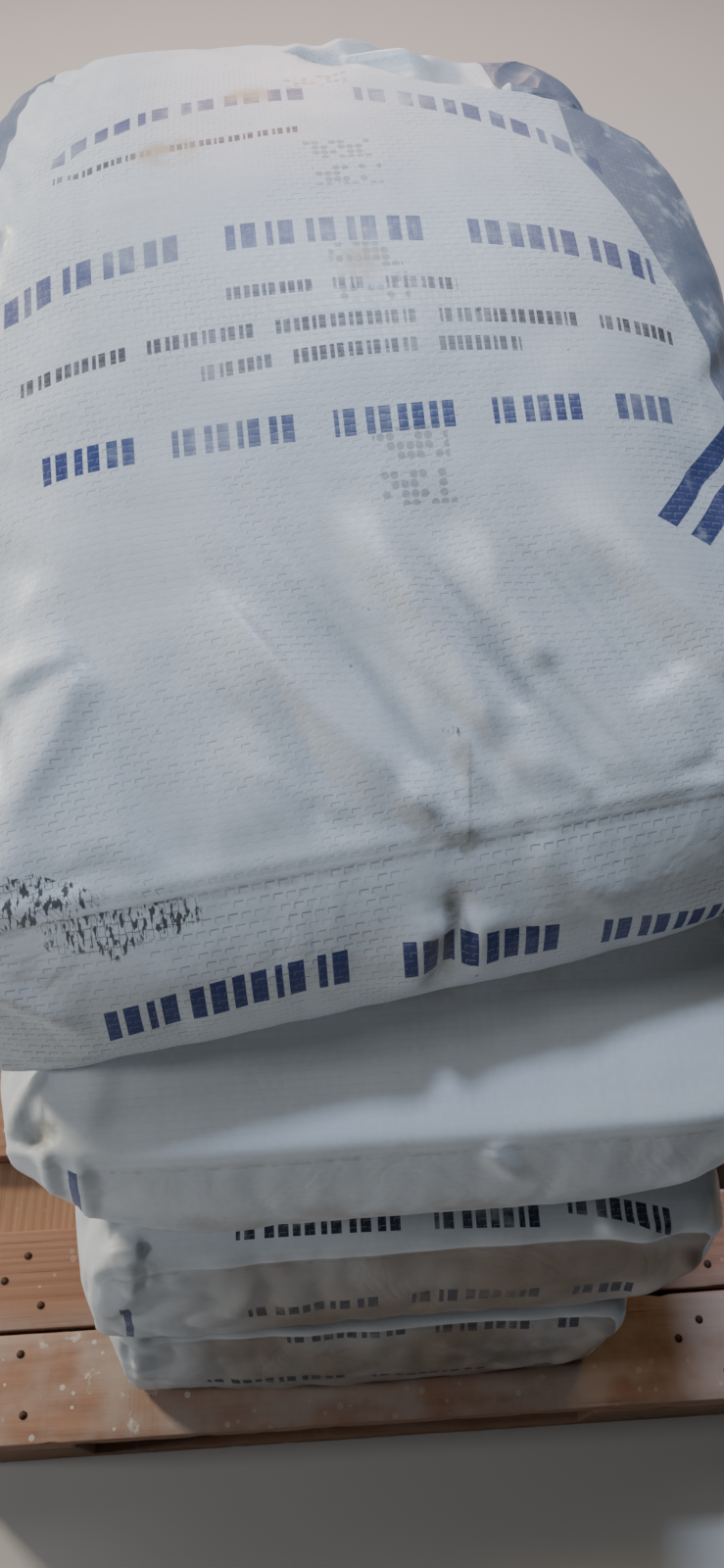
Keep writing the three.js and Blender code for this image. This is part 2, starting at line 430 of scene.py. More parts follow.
@dataclass(frozen=True)
class SackShape:
    """Where one sack lies in the pile, and its widths, in metres and degrees.

    The front is the Y of the foot of its near end, lean is how far the top of that end is set back, twist
    is how much more it leans on its right, shear is how far its foot stands to the left of its top, skew
    is how far its right half is turned away, bulge is how far the ends swell, pull is how far their upright
    corners are drawn in, and corner is the power that squares their outline.
    """

    name: str
    level: int
    x: float
    front: float
    turn: float
    lean: float
    twist: float
    shear: float
    skew: float
    bulge: float
    pull: float
    corner: float
    near_width: float
    belly_width: float
    far_width: float
    topmost: bool = False

    def surface(self, cube: np.ndarray, pile: PileForm) -> np.ndarray:
        """Moves points of a cube, whose sides run from -1 to 1, onto the sack.

        Args:
            cube: The cube's points, one row each.
            pile: The pile that the sack is part of.

        Returns:
            Each point's place across, along and above the deck, in the sack's own axes.
        """
        across, along, up = crowd(cube).T
        share = (along + 1.0) / 2.0
        ending = np.abs(along) ** 4
        half = pile.sack_length / 2
        past = np.maximum(0.0, np.abs(along) * half - (half - pile.edge)) / pile.edge
        inset = pile.edge * (1.0 - np.sqrt(np.maximum(0.0, 1.0 - past * past)))

        low = pile.height(self.level - 1, share) - pile.sag * (1.0 - ending) + inset
        top = pile.free_top(share) if self.topmost else pile.height(self.level, share)
        high = top - inset
        end_width = np.where(along < 0.0, self.near_width, self.far_width)
        half_wide = lerp(self.belly_width, end_width, along * along) / 2 - inset

        reach = np.maximum(np.abs(across), np.abs(up))
        end_power = np.where((along > 0.0) & self.topmost, pile.section_free_end, self.corner)
        power = lerp(pile.section_middle, end_power, ending)
        safe = np.where(reach > 0.0, reach, 1.0)
        shrink = (np.abs(across / safe) ** power + np.abs(up / safe) ** power) ** (-1.0 / power)
        shrink = np.where(reach > 0.0, shrink, 0.0)
        side, lift = across * shrink, up * shrink

        bulge = self.bulge * (1.0 - lift * lift) * (1.0 - 0.6 * side ** 4)
        outward = ending * (bulge - self.pull * np.abs(side) ** 6)
        nearness = (1.0 - share) ** 2
        lean = nearness * ((self.lean + self.twist * side) * (lift + 1.0) / 2 + self.skew * side)
        return np.column_stack((
            side * half_wide + nearness * self.shear * (lift - 1.0) / 2,
            share * pile.sack_length + np.sign(along) * outward + lean,
            (low + high) / 2 + lift * (high - low) / 2,
        ))

    def to_part(self, local: np.ndarray, pile: PileForm, deck: float) -> np.ndarray:
        """Takes points from the sack's own axes to the part's frame."""
        half = pile.sack_length / 2
        turn = math.radians(self.turn)
        x, y = local[:, 0], local[:, 1] - half
        return np.column_stack((
            x * math.cos(turn) - y * math.sin(turn) + self.x,
            x * math.sin(turn) + y * math.cos(turn) + self.front + half,
            local[:, 2] + deck,
        ))

    def to_sack(self, points: np.ndarray, pile: PileForm, deck: float) -> np.ndarray:
        """Takes points from the part's frame to the sack's own axes."""
        half = pile.sack_length / 2
        turn = math.radians(self.turn)
        x, y = points[:, 0] - self.x, points[:, 1] - self.front - half
        return np.column_stack((
            x * math.cos(turn) + y * math.sin(turn),
            -x * math.sin(turn) + y * math.cos(turn) + half,
            points[:, 2] - deck,
        ))

    def turn_in(self, directions: np.ndarray) -> np.ndarray:
        """Takes directions from the part's frame to the sack's own axes."""
        turn = math.radians(self.turn)
        x, y = directions[:, 0], directions[:, 1]
        return np.column_stack((
            x * math.cos(turn) + y * math.sin(turn),
            -x * math.sin(turn) + y * math.cos(turn),
            directions[:, 2],
        ))


@dataclass(frozen=True)
class SackCloth:
    """How slack, light and stiff the fabric is in the simulation, and for how many frames it runs."""

    slack: float = 0.035
    frames: int = 20
    quality: int = 4
    mass: float = 0.15
    tension: float = 25.0
    compression: float = 12.0
    shear: float = 8.0
    bending: float = 0.35
    pressure: float = 4.0

    def settle(self, piece: bpy.types.Object, held: np.ndarray) -> np.ndarray:
        """Runs the simulation on a piece and takes it off again.

        Args:
            piece: The piece, whose mesh stays as it was.
            held: Which of its points can't move.

        Returns:
            How far the simulation moves each point.
        """
        pinned = piece.vertex_groups.new(name="held")
        pinned.add(np.nonzero(held)[0].tolist(), 1.0, "REPLACE")
        modifier = piece.modifiers.new("Cloth", "CLOTH")
        settings = modifier.settings
        settings.quality = self.quality
        settings.mass = self.mass
        settings.tension_stiffness = self.tension
        settings.compression_stiffness = self.compression
        settings.shear_stiffness = self.shear
        settings.bending_stiffness = self.bending
        settings.shrink_min = -self.slack
        settings.shrink_max = -self.slack
        settings.use_pressure = True
        settings.uniform_pressure_force = self.pressure
        settings.effector_weights.gravity = 0.0
        settings.vertex_group_mass = pinned.name
        modifier.collision_settings.use_collision = False
        modifier.point_cache.frame_start = 1
        modifier.point_cache.frame_end = self.frames
        scene = bpy.context.scene
        for number in range(1, self.frames + 1):
            scene.frame_set(number)
        evaluated = piece.evaluated_get(bpy.context.evaluated_depsgraph_get())
        moved = read_points(evaluated.data) - read_points(piece.data)
        piece.modifiers.remove(modifier)
        piece.vertex_groups.clear()
        scene.frame_set(1)
        return moved


@dataclass
class Sack:
    """One filled sack: its mesh, its simulated fabric and its folds.

    Of the simulation's moves, the wrinkles are kept up to a furthest length and calmed on the two ends,
    and only a part of the broad swell is kept. The lowest sacks have crumpled near ends.
    """

    shape: SackShape
    pile: PileForm
    deck: float
    folds: tuple[Fold, ...] = ()
    cloth: SackCloth = SackCloth()
    across: int = 68
    along: int = 96
    up: int = 24
    clearance: float = 0.0008
    furthest: float = 0.009
    kept_swell: float = 0.25
    end_calm: float = 0.75
    uneven_height: float = 0.0012
    uneven_scale: float = 9.0
    crumpled_levels: int = 2
    crumple_height: float = 0.0035
    crumple_scale: float = 26.0
    crease_height: float = 0.00025
    crease_width: float = 0.0035
    crease_back: float = 0.002

    def build(self, beneath: BVHTree | None) -> bpy.types.Object:
        """Makes the sack's mesh and lays it on what is beneath.

        Args:
            beneath: The surface of the sack beneath, or None for the sack on the deck.

        Returns:
            The finished object, without its material.
        """
        piece = self._grid()
        self._map_fabric(piece.data)
        cube = read_points(piece.data)
        local = self.shape.surface(cube, self.pile)
        write_points(piece.data, self.shape.to_part(local, self.pile, self.deck))
        self._simulate(piece, cube)
        self._subdivide(piece)
        self._mark_lay(piece.data)
        self._fold(piece.data)
        self._rest(piece.data, beneath)
        return piece

    def _grid(self) -> bpy.types.Object:
        """A cube whose sides run from -1 to 1, cut into the sack's even grid of faces."""
        mesh = bmesh.new()
        bmesh.ops.create_cube(mesh, size=2.0)
        for axis, faces in enumerate((self.across, self.along, self.up)):
            edges = [e for e in mesh.edges if abs((e.verts[0].co - e.verts[1].co)[axis]) > 1.0]
            bmesh.ops.subdivide_edges(mesh, edges=edges, cuts=faces - 1, use_grid_fill=True)
        return make_object(f"woven_{self.shape.name}", mesh)

    def _map_fabric(self, data: bpy.types.Mesh) -> None:
        """Lays the fabric's own map on the grid, in metres round the tube and along it.

        Round the tube it starts in the middle of the top. On the two ends it runs on, down from the crease.
        """
        # Each point's step round the grid, counted from the middle of the top.
        cube = read_points(data)
        counts = np.array((self.across, self.along, self.up))
        i, j, k = np.rint((cube + 1.0) / 2.0 * counts).astype(int).T
        half, wide, high = self.across // 2, self.across, self.up
        ring = 2 * (wide + high)
        step = np.select(
            [k == high, i == wide, k == 0],
            [i - half, half + high - k, half + high + wide - i],
            half + high + wide + k,
        ) % ring

        # The metres that each step has travelled round the sack, evened out to one girth.
        local = self.shape.surface(cube, self.pile)
        on_ring = (k == high) | (i == wide) | (k == 0) | (i == 0)
        tube = np.zeros((self.along + 1, ring, 3))
        tube[j[on_ring], step[on_ring]] = local[on_ring]
        hops = np.linalg.norm(np.roll(tube, -1, axis=1) - tube, axis=2)
        girths = hops.sum(axis=1)
        travel = np.concatenate((np.zeros((self.along + 1, 1)), np.cumsum(hops, axis=1)), axis=1)
        girth = float(girths.mean())
        u = travel[j, step] / girths[j] * girth
        v = (crowd(cube[:, 1]) + 1.0) / 2.0 * self.pile.sack_length

        # On the two ends, how far each point hangs below the top.
        crown = np.zeros((2, wide + 1))
        on_crown = (k == high) & ((j == 0) | (j == self.along))
        crown[(j[on_crown] > 0).astype(int), i[on_crown]] = local[on_crown, 2]
        drop = crown[(j > 0).astype(int), i] - local[:, 2]
        end_v = np.where(j > 0, self.pile.sack_length + drop, -drop)

        # The values of each face's own corners, with the seam of the map under the sack.
        corners = np.empty(len(data.loops), dtype=int)
        data.loops.foreach_get("vertex_index", corners)
        owner = np.repeat(np.arange(len(data.polygons)), 4)
        middles = cube[corners].reshape(-1, 4, 3).mean(axis=1)[owner]
        on_end = np.abs(middles[:, 1]) > 0.9999
        wrapped = np.where(step[corners] == ring // 2, girth / 2, u[corners])
        wrapped = np.where((middles[:, 0] < 0.0) & (wrapped > 0.0), wrapped - girth, wrapped)
        wrapped = np.where(step[corners] == 0, 0.0, wrapped)
        values = np.column_stack((
            np.where(on_end, local[corners, 0], wrapped),
            np.where(on_end, end_v[corners], v[corners]),
        ))
        layer = data.uv_layers.new(name="fabric")
        layer.data.foreach_set("uv", values.ravel())

    def _simulate(self, piece: bpy.types.Object, cube: np.ndarray) -> None:
        """Lets slightly slack fabric buckle round its filling, and keeps its wrinkles but not its swell.

        Args:
            piece: The sack.
            cube: Its points on the cube that it was made from.
        """
        start = read_points(piece.data)
        moved = self.cloth.settle(piece, self._held(piece.data, cube))
        swell = self._even_out(piece.data, moved)
        at_ends = smooth((np.abs(cube[:, 1]) - 0.9) / 0.1)[:, None]
        wrinkles = (moved - (1.0 - self.kept_swell) * swell) * (1.0 - self.end_calm * at_ends)
        size = np.linalg.norm(wrinkles, axis=1, keepdims=True)
        capped = self.furthest * np.tanh(size / self.furthest) / np.maximum(size, 1e-9)
        write_points(piece.data, start + wrinkles * capped)

    def _held(self, data: bpy.types.Mesh, cube: np.ndarray) -> np.ndarray:
        """Which points can't move: the underside, a top that is covered and the borders of the ends."""
        upward = read_normals(data)[:, 2]
        held = upward < -0.75
        if not self.shape.topmost:
            held |= upward > 0.93
        outer = np.abs(cube) > np.array((0.95, 0.985, 0.93))
        return held | outer[:, 1] & (outer[:, 0] | outer[:, 2])

    @staticmethod
    def _even_out(data: bpy.types.Mesh, moved: np.ndarray, rounds: int = 60) -> np.ndarray:
        """Averages each point's move with its neighbours', many times over."""
        pairs = np.empty(len(data.edges) * 2, dtype=int)
        data.edges.foreach_get("vertices", pairs)
        one, other = pairs.reshape(-1, 2).T
        count = np.bincount(pairs, minlength=len(moved))[:, None]
        even = moved
        for _ in range(rounds):
            total = np.zeros_like(even)
            for axis in range(3):
                total[:, axis] = (np.bincount(one, even[other, axis], len(even))
                                  + np.bincount(other, even[one, axis], len(even)))
            even = 0.3 * even + 0.7 * total / count
        return even

    def _subdivide(self, piece: bpy.types.Object) -> None:
        """Halves every face once and keeps the result as the mesh."""
        finer = piece.modifiers.new("Finer", "SUBSURF")
        finer.levels = finer.render_levels = 1
        evaluated = piece.evaluated_get(bpy.context.evaluated_depsgraph_get())
        data = bpy.data.meshes.new_from_object(evaluated)
        piece.modifiers.clear()
        piece.data = data

    def _mark_lay(self, data: bpy.types.Mesh) -> None:
        """Keeps each point's place across, along and above the deck, for the print and the marks."""
        lay = self.shape.to_sack(read_points(data), self.pile, self.deck)
        layer = data.attributes.new("lay", "FLOAT_VECTOR", "POINT")
        layer.data.foreach_set("vector", lay.astype(np.float32).ravel())

    def _fold(self, data: bpy.types.Mesh) -> None:
        """Presses the folds into the fabric, with a slight unevenness all over."""
        points = read_points(data)
        normals = read_normals(data)
        lay = self.shape.to_sack(points, self.pile, self.deck)
        facing = self.shape.turn_in(normals)
        lift = sum((fold.lift(lay, facing) for fold in self.folds), self._crease(lay, facing))
        seed = Vector((0.0, 0.0, 3.7 * self.shape.level))
        uneven = [noise.fractal(Vector(p) * self.uneven_scale + seed, 0.6, 2.0, 3) for p in points]
        lift += self.uneven_height * np.array(uneven)
        if self.shape.level <= self.crumpled_levels:
            crumpled = np.array([abs(noise.noise(Vector(p) * self.crumple_scale + seed)) for p in points])
            lift += self.crumple_height * crumpled * smooth((-facing[:, 1] - 0.3) / 0.4)
        write_points(data, points + normals * lift[:, None])

    def _crease(self, lay: np.ndarray, facing: np.ndarray) -> np.ndarray:
        """A low ridge where the top turns down into the near end."""
        shape = self.shape
        side = lay[:, 0] / (shape.near_width / 2)
        drawn_in = shape.pull * np.abs(side) ** 6
        edge = shape.lean + (shape.twist + shape.skew) * side - drawn_in + self.crease_back
        away = np.abs(lay[:, 1] - edge) / self.crease_width
        upper = smooth((facing[:, 2] - 0.15) / 0.3)
        return self.crease_height * np.exp(-away) * upper

    def _rest(self, data: bpy.types.Mesh, beneath: BVHTree | None) -> None:
        """Flattens the underside on the deck or on the sack beneath."""
        points = read_points(data)
        down = Vector((0.0, 0.0, -1.0))
        for index in np.nonzero(read_normals(data)[:, 2] < 0.5)[0]:
            x, y, z = points[index]
            floor = self.deck
            if beneath:
                hit, *_ = beneath.ray_cast(Vector((x, y, ABOVE_PILE)), down)
                floor = hit.z if hit else NO_FLOOR
            points[index, 2] = max(z, floor + self.clearance)
        write_points(data, points)


@dataclass(frozen=True)
class PrintRow:
    """A row of plain printed blocks on a sack, bent through three points of its middle line.

    The points are across and along on the top face, and across and height on the near end.
    """

    left: Point
    middle: Point
    right: Point
    tall: float
    pitch: float
    ink: Colour
    gaps: tuple[int, ...] = ()
    worn: float = 0.3

    def curve(self) -> tuple[float, float, float]:
        """The level, slope and bend of the middle line, by its place across."""
        x = np.array((self.left[0], self.middle[0], self.right[0]))
        bend, slope, level = np.polyfit(x, (self.left[1], self.middle[1], self.right[1]), 2)
        return float(level), float(slope), float(bend)


@dataclass(frozen=True)
class Stain:
    """A soft stain or patch of painted shade, placed by its middle and its half widths on the top face or the
    near end.
    """

    middle: Point
    reach: Point
    colour: Colour
    strength: float


@dataclass(frozen=True)
class Stripe:
    """A plain printed stripe along a straight line on the top face or the near end."""

    start: Point
    end: Point
    width: float
    ink: Colour
    strength: float = 0.92


@dataclass(frozen=True)
class SlantedBars:
    """Printed bars side by side, by their place round the tube and along it, cut off along one line."""

    tip: Point = (0.146, 0.150)
    ahead: Point = (0.65, 0.76)
    cut: Point = (0.49, 0.872)
    width: float = 0.0115
    pitch: float = 0.0195
    count: int = 4
    reach: float = 0.262
    ink: Colour = (0.022, 0.038, 0.16)


@dataclass(frozen=True)
class Scuff:
    """A place where the coating is rubbed off along the tapes' edges and black dirt has settled."""

    middle: Point
    reach: Point
    dirt: Colour = (0.03, 0.03, 0.035)


@dataclass(frozen=True)
class SideBands:
    """A broad printed band along each side of the tube, by its place round it.

    The inner edges stand off from a middle line. Nearer than a given place they flare outwards. Beyond
    the first sheltered place, and fully beyond the second, the ink is hardly worn.
    """

    middle: float = -0.020
    inner: float = 0.157
    flare: float = 0.44
    flare_before: float = 0.39
    width: float = 0.075
    sheltered: Point = (0.445, 0.470)
    ink: Colour = (0.085, 0.11, 0.18)


@dataclass(frozen=True)
class SprayedDots:
    """Round dots sprayed on the top face in small clusters, some of them left out by chance."""

    clusters: tuple[Point, ...]
    reach: Point = (0.019, 0.0085)
    pitch: float = 0.0048
    left_out: float = 0.42
    ink: Colour = (0.13, 0.14, 0.17)
    strength: float = 0.55


@dataclass(frozen=True)
class WovenSackFinish:
    """Woven white tape fabric with a thin coating, its printed marks, its dirt, and painted shade and
    highlights.
    """

    name: str
    top_rows: tuple[PrintRow, ...] = ()
    near_rows: tuple[PrintRow, ...] = ()
    top_stains: tuple[Stain, ...] = ()
    near_stains: tuple[Stain, ...] = ()
    top_stripes: tuple[Stripe, ...] = ()
    near_stripes: tuple[Stripe, ...] = ()
    top_scuffs: tuple[Scuff, ...] = ()
    near_scuffs: tuple[Scuff, ...] = ()
    dots: SprayedDots | None = None
    bars: SlantedBars | None = None
    bands: SideBands = SideBands()
    # Dust and painted shade on the near end: the brown darkens all of it but the lit left corner, from the
    # given edge on.
    near_dust_and_shade: float = 0.0
    dust: Colour = (0.21, 0.145, 0.092)
    dust_and_shade_edge: Point = (-0.16, -0.09)
    pleated: bool = False
    fabric: Colour = (0.56, 0.61, 0.66)
    warp: float = 0.0031
    weft: float = 0.0039
    weave_depth: float = 0.00004
    weave_gap_shade: float = 0.15
    length: float = 0.620

    def make(self) -> bpy.types.Material:
        """Builds the material."""
        bench = Bench(self.name)
        u, v, _ = bench.split(bench.attribute("fabric"))
        x, y, z = bench.split(bench.attribute("lay"))
        weave, edge, chance, frayed = self._weave(bench, u, v)
        near_end = v.below(0.0)
        top = (1.0 - near_end) * v.below(self.length)

        soft = bench.grain(bench.attribute("lay"), 6.0, 3.0)
        tone = 0.95 + 0.04 * chance + 0.14 * (soft - 0.5)
        shown = bench.grain(bench.attribute("lay"), 15.0, 2.0).rise(0.32, 0.58)
        # Painted shade in the gaps between the tapes, stronger where the weave shows.
        gaps = 0.54 * edge * (0.2 + 0.8 * shown) * self.weave_gap_shade
        colour = bench.shade(self.fabric, tone * (1.0 - gaps))
        wear = bench.grain(bench.attribute("lay"), 46.0, 4.0, 0.62)
        broad_wear = bench.grain(bench.attribute("lay"), 11.0, 2.0)
        # Painted shade, with some dust, on the near end: brown over all of it but the lit left corner.
        if self.near_dust_and_shade:
            settled = near_end * self.near_dust_and_shade * (0.62 + 0.38 * broad_wear.rise(0.35, 0.65))
            colour = bench.mix(settled * x.rise(*self.dust_and_shade_edge), colour, self.dust)

        colour = self._bands(bench, colour, u, y, top, wear, edge)
        if self.bars:
            colour = self._slanted_bars(bench, colour, self.bars, u, v, top, wear, edge)
        for row in self.top_rows:
            colour = self._row(bench, colour, row, x, y, top, wear, broad_wear, edge)
        for row in self.near_rows:
            colour = self._row(bench, colour, row, x, z, near_end, wear, broad_wear, edge)
        if self.dots:
            colour = self._dots(bench, colour, self.dots, x, y, top)
        for stripe in self.top_stripes:
            colour = self._stripe(bench, colour, stripe, x, y, top, wear)
        for stripe in self.near_stripes:
            colour = self._stripe(bench, colour, stripe, x, z, near_end, wear)
        for stain in self.top_stains:
            colour = self._stain(bench, colour, stain, x, y, top, wear)
        for stain in self.near_stains:
            colour = self._stain(bench, colour, stain, x, z, near_end, wear)
        for scuff in self.top_scuffs:
            colour = self._scuff(bench, colour, scuff, x, y, top, wear, frayed)
        for scuff in self.near_scuffs:
            colour = self._scuff(bench, colour, scuff, x, z, near_end, wear, frayed)

        # The crease along the near edge: a pressed line painted lighter as a painted highlight, with a broken
        # painted shadow beneath it.
        crease_line_and_highlight = abs(v - 0.0006).rise(0.0016, 0.0003)
        broken = bench.grain(bench.attribute("lay"), 170.0, 2.0).rise(0.4, 0.62)
        shaded = abs(v + 0.0018).rise(0.0012, 0.0004) * broken
        colour = bench.shade(colour, 1.0 + 0.06 * crease_line_and_highlight - 0.16 * shaded)

        # Fine crumples, stronger on the near end, the tapes' relief and the finest pleats.
        crumple = abs(bench.grain(bench.attribute("lay"), 21.0, 3.0, 0.55, 0.6) - 0.5) * 2.0
        bench.bump(crumple * (0.25 + 0.75 * near_end), 0.0011)
        bench.bump(weave * (1.0 - 0.65 * near_end), self.weave_depth)
        bench.bump(crease_line_and_highlight, 0.00012)
        if self.pleated:
            bench.bump(self._pleats(bench, x, y) * top, 0.0026)
        roughness = 0.42 + 0.12 * chance + 0.1 * (soft - 0.5)
        bench.feed(Base_Color=colour, Roughness=roughness, Specular_IOR_Level=0.45)
        return bench.material

    def _weave(self, bench: Bench, u: Signal, v: Signal) -> tuple[Signal, Signal, Signal, Signal]:
        """A plain weave of flat tapes.

        Returns:
            Its height, the gaps that show at the tapes' ends, a number for each tape, and the wider
            edges where dirt settles.
        """
        a, b = u / self.warp, v / self.weft
        row, column = a.floor(), b.floor()
        odd = ((row + column) * 0.5).fract() * 2.0
        wide = abs(a.fract() - 0.5) * 2.0
        high = abs(b.fract() - 0.5) * 2.0
        lengthwise = (1.0 - 0.5 * high * high) * (1.0 - 0.3 * wide ** 8.0)
        crosswise = (1.0 - 0.5 * wide * wide) * (1.0 - high ** 8.0)
        height = odd * lengthwise + (1.0 - odd) * crosswise

        # A slot between every two tapes, turned down at one end like a hook, and as deep as chance has it.
        pair = (a + column) * 0.5
        depth = 0.35 + 0.65 * bench.chance(bench.join(pair.floor(), column, 9.0))
        slot = abs(pair.fract() - 0.5).rise(0.39, 0.31) * abs(b.fract() - 0.88).rise(0.11, 0.04)
        hook = abs(pair.fract() - 0.14).rise(0.07, 0.03) * b.fract().above(0.4) * b.fract().below(0.9)
        gap = slot.most(hook * 0.8) * depth
        tape = odd * bench.chance(bench.join(row, 3.0)) + (1.0 - odd) * bench.chance(bench.join(column, 7.0))
        frayed = (odd * wide ** 3.0 + (1.0 - odd) * high ** 5.0).above(0.42) * depth.above(0.55)
        return height, gap, tape, frayed

    def _pleats(self, bench: Bench, x: Signal, y: Signal) -> Signal:
        """Fine pleats that run up and to the left from the pinch in the near end, side by side."""
        across, along = x * 0.78 + y * 0.62, y * 0.78 - x * 0.62
        lines = bench.grain(bench.join(across * 44.0, along * 6.0), 1.0, 1.0).rise(0.34, 0.68)
        zone = y.rise(0.010, 0.050) * y.rise(0.215, 0.120) * x.rise(-0.105, -0.050) * x.rise(0.205, 0.150)
        return lines * zone

    def _bands(self, bench: Bench, colour: object, u: Signal, y: Signal, top: Signal, wear: Signal,
               edge: Signal) -> bpy.types.NodeSocket:
        """A broad band along each side of the tube, its ink thin and scuffed."""
        bands = self.bands
        inner = bands.inner + bands.flare * bench.math("MAXIMUM", bands.flare_before - y, 0.0)
        beside = abs(u - bands.middle) - inner
        band = beside.above(0.0) * beside.below(bands.width) * top
        sheltered = y.rise(*bands.sheltered)
        worn = 0.6 * wear.rise(0.5, 0.7) * (1.0 - 0.8 * sheltered)
        share = band * (0.80 + 0.12 * sheltered - worn) * (1.0 - 0.25 * edge)
        return bench.mix(share, colour, bands.ink)

    def _slanted_bars(self, bench: Bench, colour: object, bars: SlantedBars, u: Signal, v: Signal,
                      top: Signal, wear: Signal, edge: Signal) -> bpy.types.NodeSocket:
        """The slanted bars, which run on down the side of the sack."""
        across, along = u - bars.tip[0], v - bars.tip[1]
        aside = across * bars.ahead[1] - along * bars.ahead[0]
        number = (aside / bars.pitch).floor()
        within = (aside - number * bars.pitch).below(bars.width)
        counted = number.above(-0.5) * number.below(bars.count - 0.5)
        past = (across * bars.cut[0] + along * bars.cut[1]).above(0.0) * u.below(bars.reach)
        share = within * counted * past * top * (0.95 - 0.4 * wear.rise(0.55, 0.75)) * (1.0 - 0.4 * edge)
        return bench.mix(share, colour, bars.ink)

    def _stripe(self, bench: Bench, colour: object, stripe: Stripe, x: Signal, second: Signal, where: Signal,
                wear: Signal) -> bpy.types.NodeSocket:
        """One plain stripe, a little worn."""
        length = math.dist(stripe.start, stripe.end)
        ahead = ((stripe.end[0] - stripe.start[0]) / length, (stripe.end[1] - stripe.start[1]) / length)
        across, along = x - stripe.start[0], second - stripe.start[1]
        aside = abs(across * ahead[1] - along * ahead[0])
        forward = across * ahead[0] + along * ahead[1]
        share = aside.below(stripe.width / 2) * forward.above(0.0) * forward.below(length) * where
        return bench.mix(share * stripe.strength * (1.0 - 0.45 * wear.rise(0.55, 0.7)), colour, stripe.ink)

    def _scuff(self, bench: Bench, colour: object, scuff: Scuff, x: Signal, second: Signal, where: Signal,
               wear: Signal, frayed: Signal) -> bpy.types.NodeSocket:
        """Black dirt along the frayed edges of the tapes, thinning out from the middle."""
        away = oval(x, second, scuff.middle, scuff.reach)
        streaks = bench.grain(bench.join(x * 430.0, second * 190.0), 1.0, 2.0, 0.6).rise(0.52, 0.58)
        ragged = (away.rise(1.9, 0.0) + 2.4 * (wear - 0.5)).rise(0.42, 0.62)
        share = (frayed * 0.7).most(streaks) * ragged * where
        return bench.mix(share * 0.9, colour, scuff.dirt)

    def _row(self, bench: Bench, colour: object, row: PrintRow, x: Signal, second: Signal, where: Signal,
             wear: Signal, broad_wear: Signal, edge: Signal) -> bpy.types.NodeSocket:
        """One row of blocks, worn off in places and thin at the tapes' edges."""
        level, slope, bend = row.curve()
        aside = abs(second - (level + slope * x + bend * x * x))

        # Blocks of uneven width, each split by a slit; one whose number is among the gaps is left out.
        place = (x - row.left[0]) / row.pitch
        number = place.floor()
        chance = bench.chance(bench.join(number, row.pitch * 977.0))
        inside = place.fract()
        slit = abs(inside - 0.22 - 0.2 * chance).above(0.07)
        within = inside.below(0.66 + 0.2 * chance) * slit
        block = aside.below(row.tall / 2) * within * x.above(row.left[0]) * x.below(row.right[0]) * where
        for gap in row.gaps:
            block = block * abs(number - float(gap)).above(0.5)
        thin = wear.rise(0.5, 0.72) * row.worn + broad_wear.rise(0.45, 0.7) * row.worn
        share = block * (1.0 - thin).clip() * (1.0 - 0.3 * edge)
        return bench.mix(share, colour, row.ink)

    def _dots(self, bench: Bench, colour: object, dots: SprayedDots, x: Signal, y: Signal,
              top: Signal) -> bpy.types.NodeSocket:
        """Small clusters of sprayed grey dots."""
        across, along = x / dots.pitch, y / dots.pitch
        spot = ((across.fract() - 0.5) ** 2.0 + (along.fract() - 0.5) ** 2.0).below(0.19)
        chance = bench.chance(bench.join(across.floor(), along.floor(), 5.0))
        near = None
        for middle in dots.clusters:
            here = abs(x - middle[0]).below(dots.reach[0]) * abs(y - middle[1]).below(dots.reach[1])
            near = here if near is None else near.most(here)
        share = spot * chance.above(dots.left_out) * near * top * dots.strength
        return bench.mix(share, colour, dots.ink)

    def _stain(self, bench: Bench, colour: object, stain: Stain, x: Signal, second: Signal, where: Signal,
               wear: Signal) -> bpy.types.NodeSocket:
        """One soft-edged stain, broken up by noise."""
        away = oval(x, second, stain.middle, stain.reach)
        share = away.rise(1.0, 0.0) * wear.rise(0.3, 0.62) * stain.strength * where
        return bench.mix(share, colour, stain.colour)


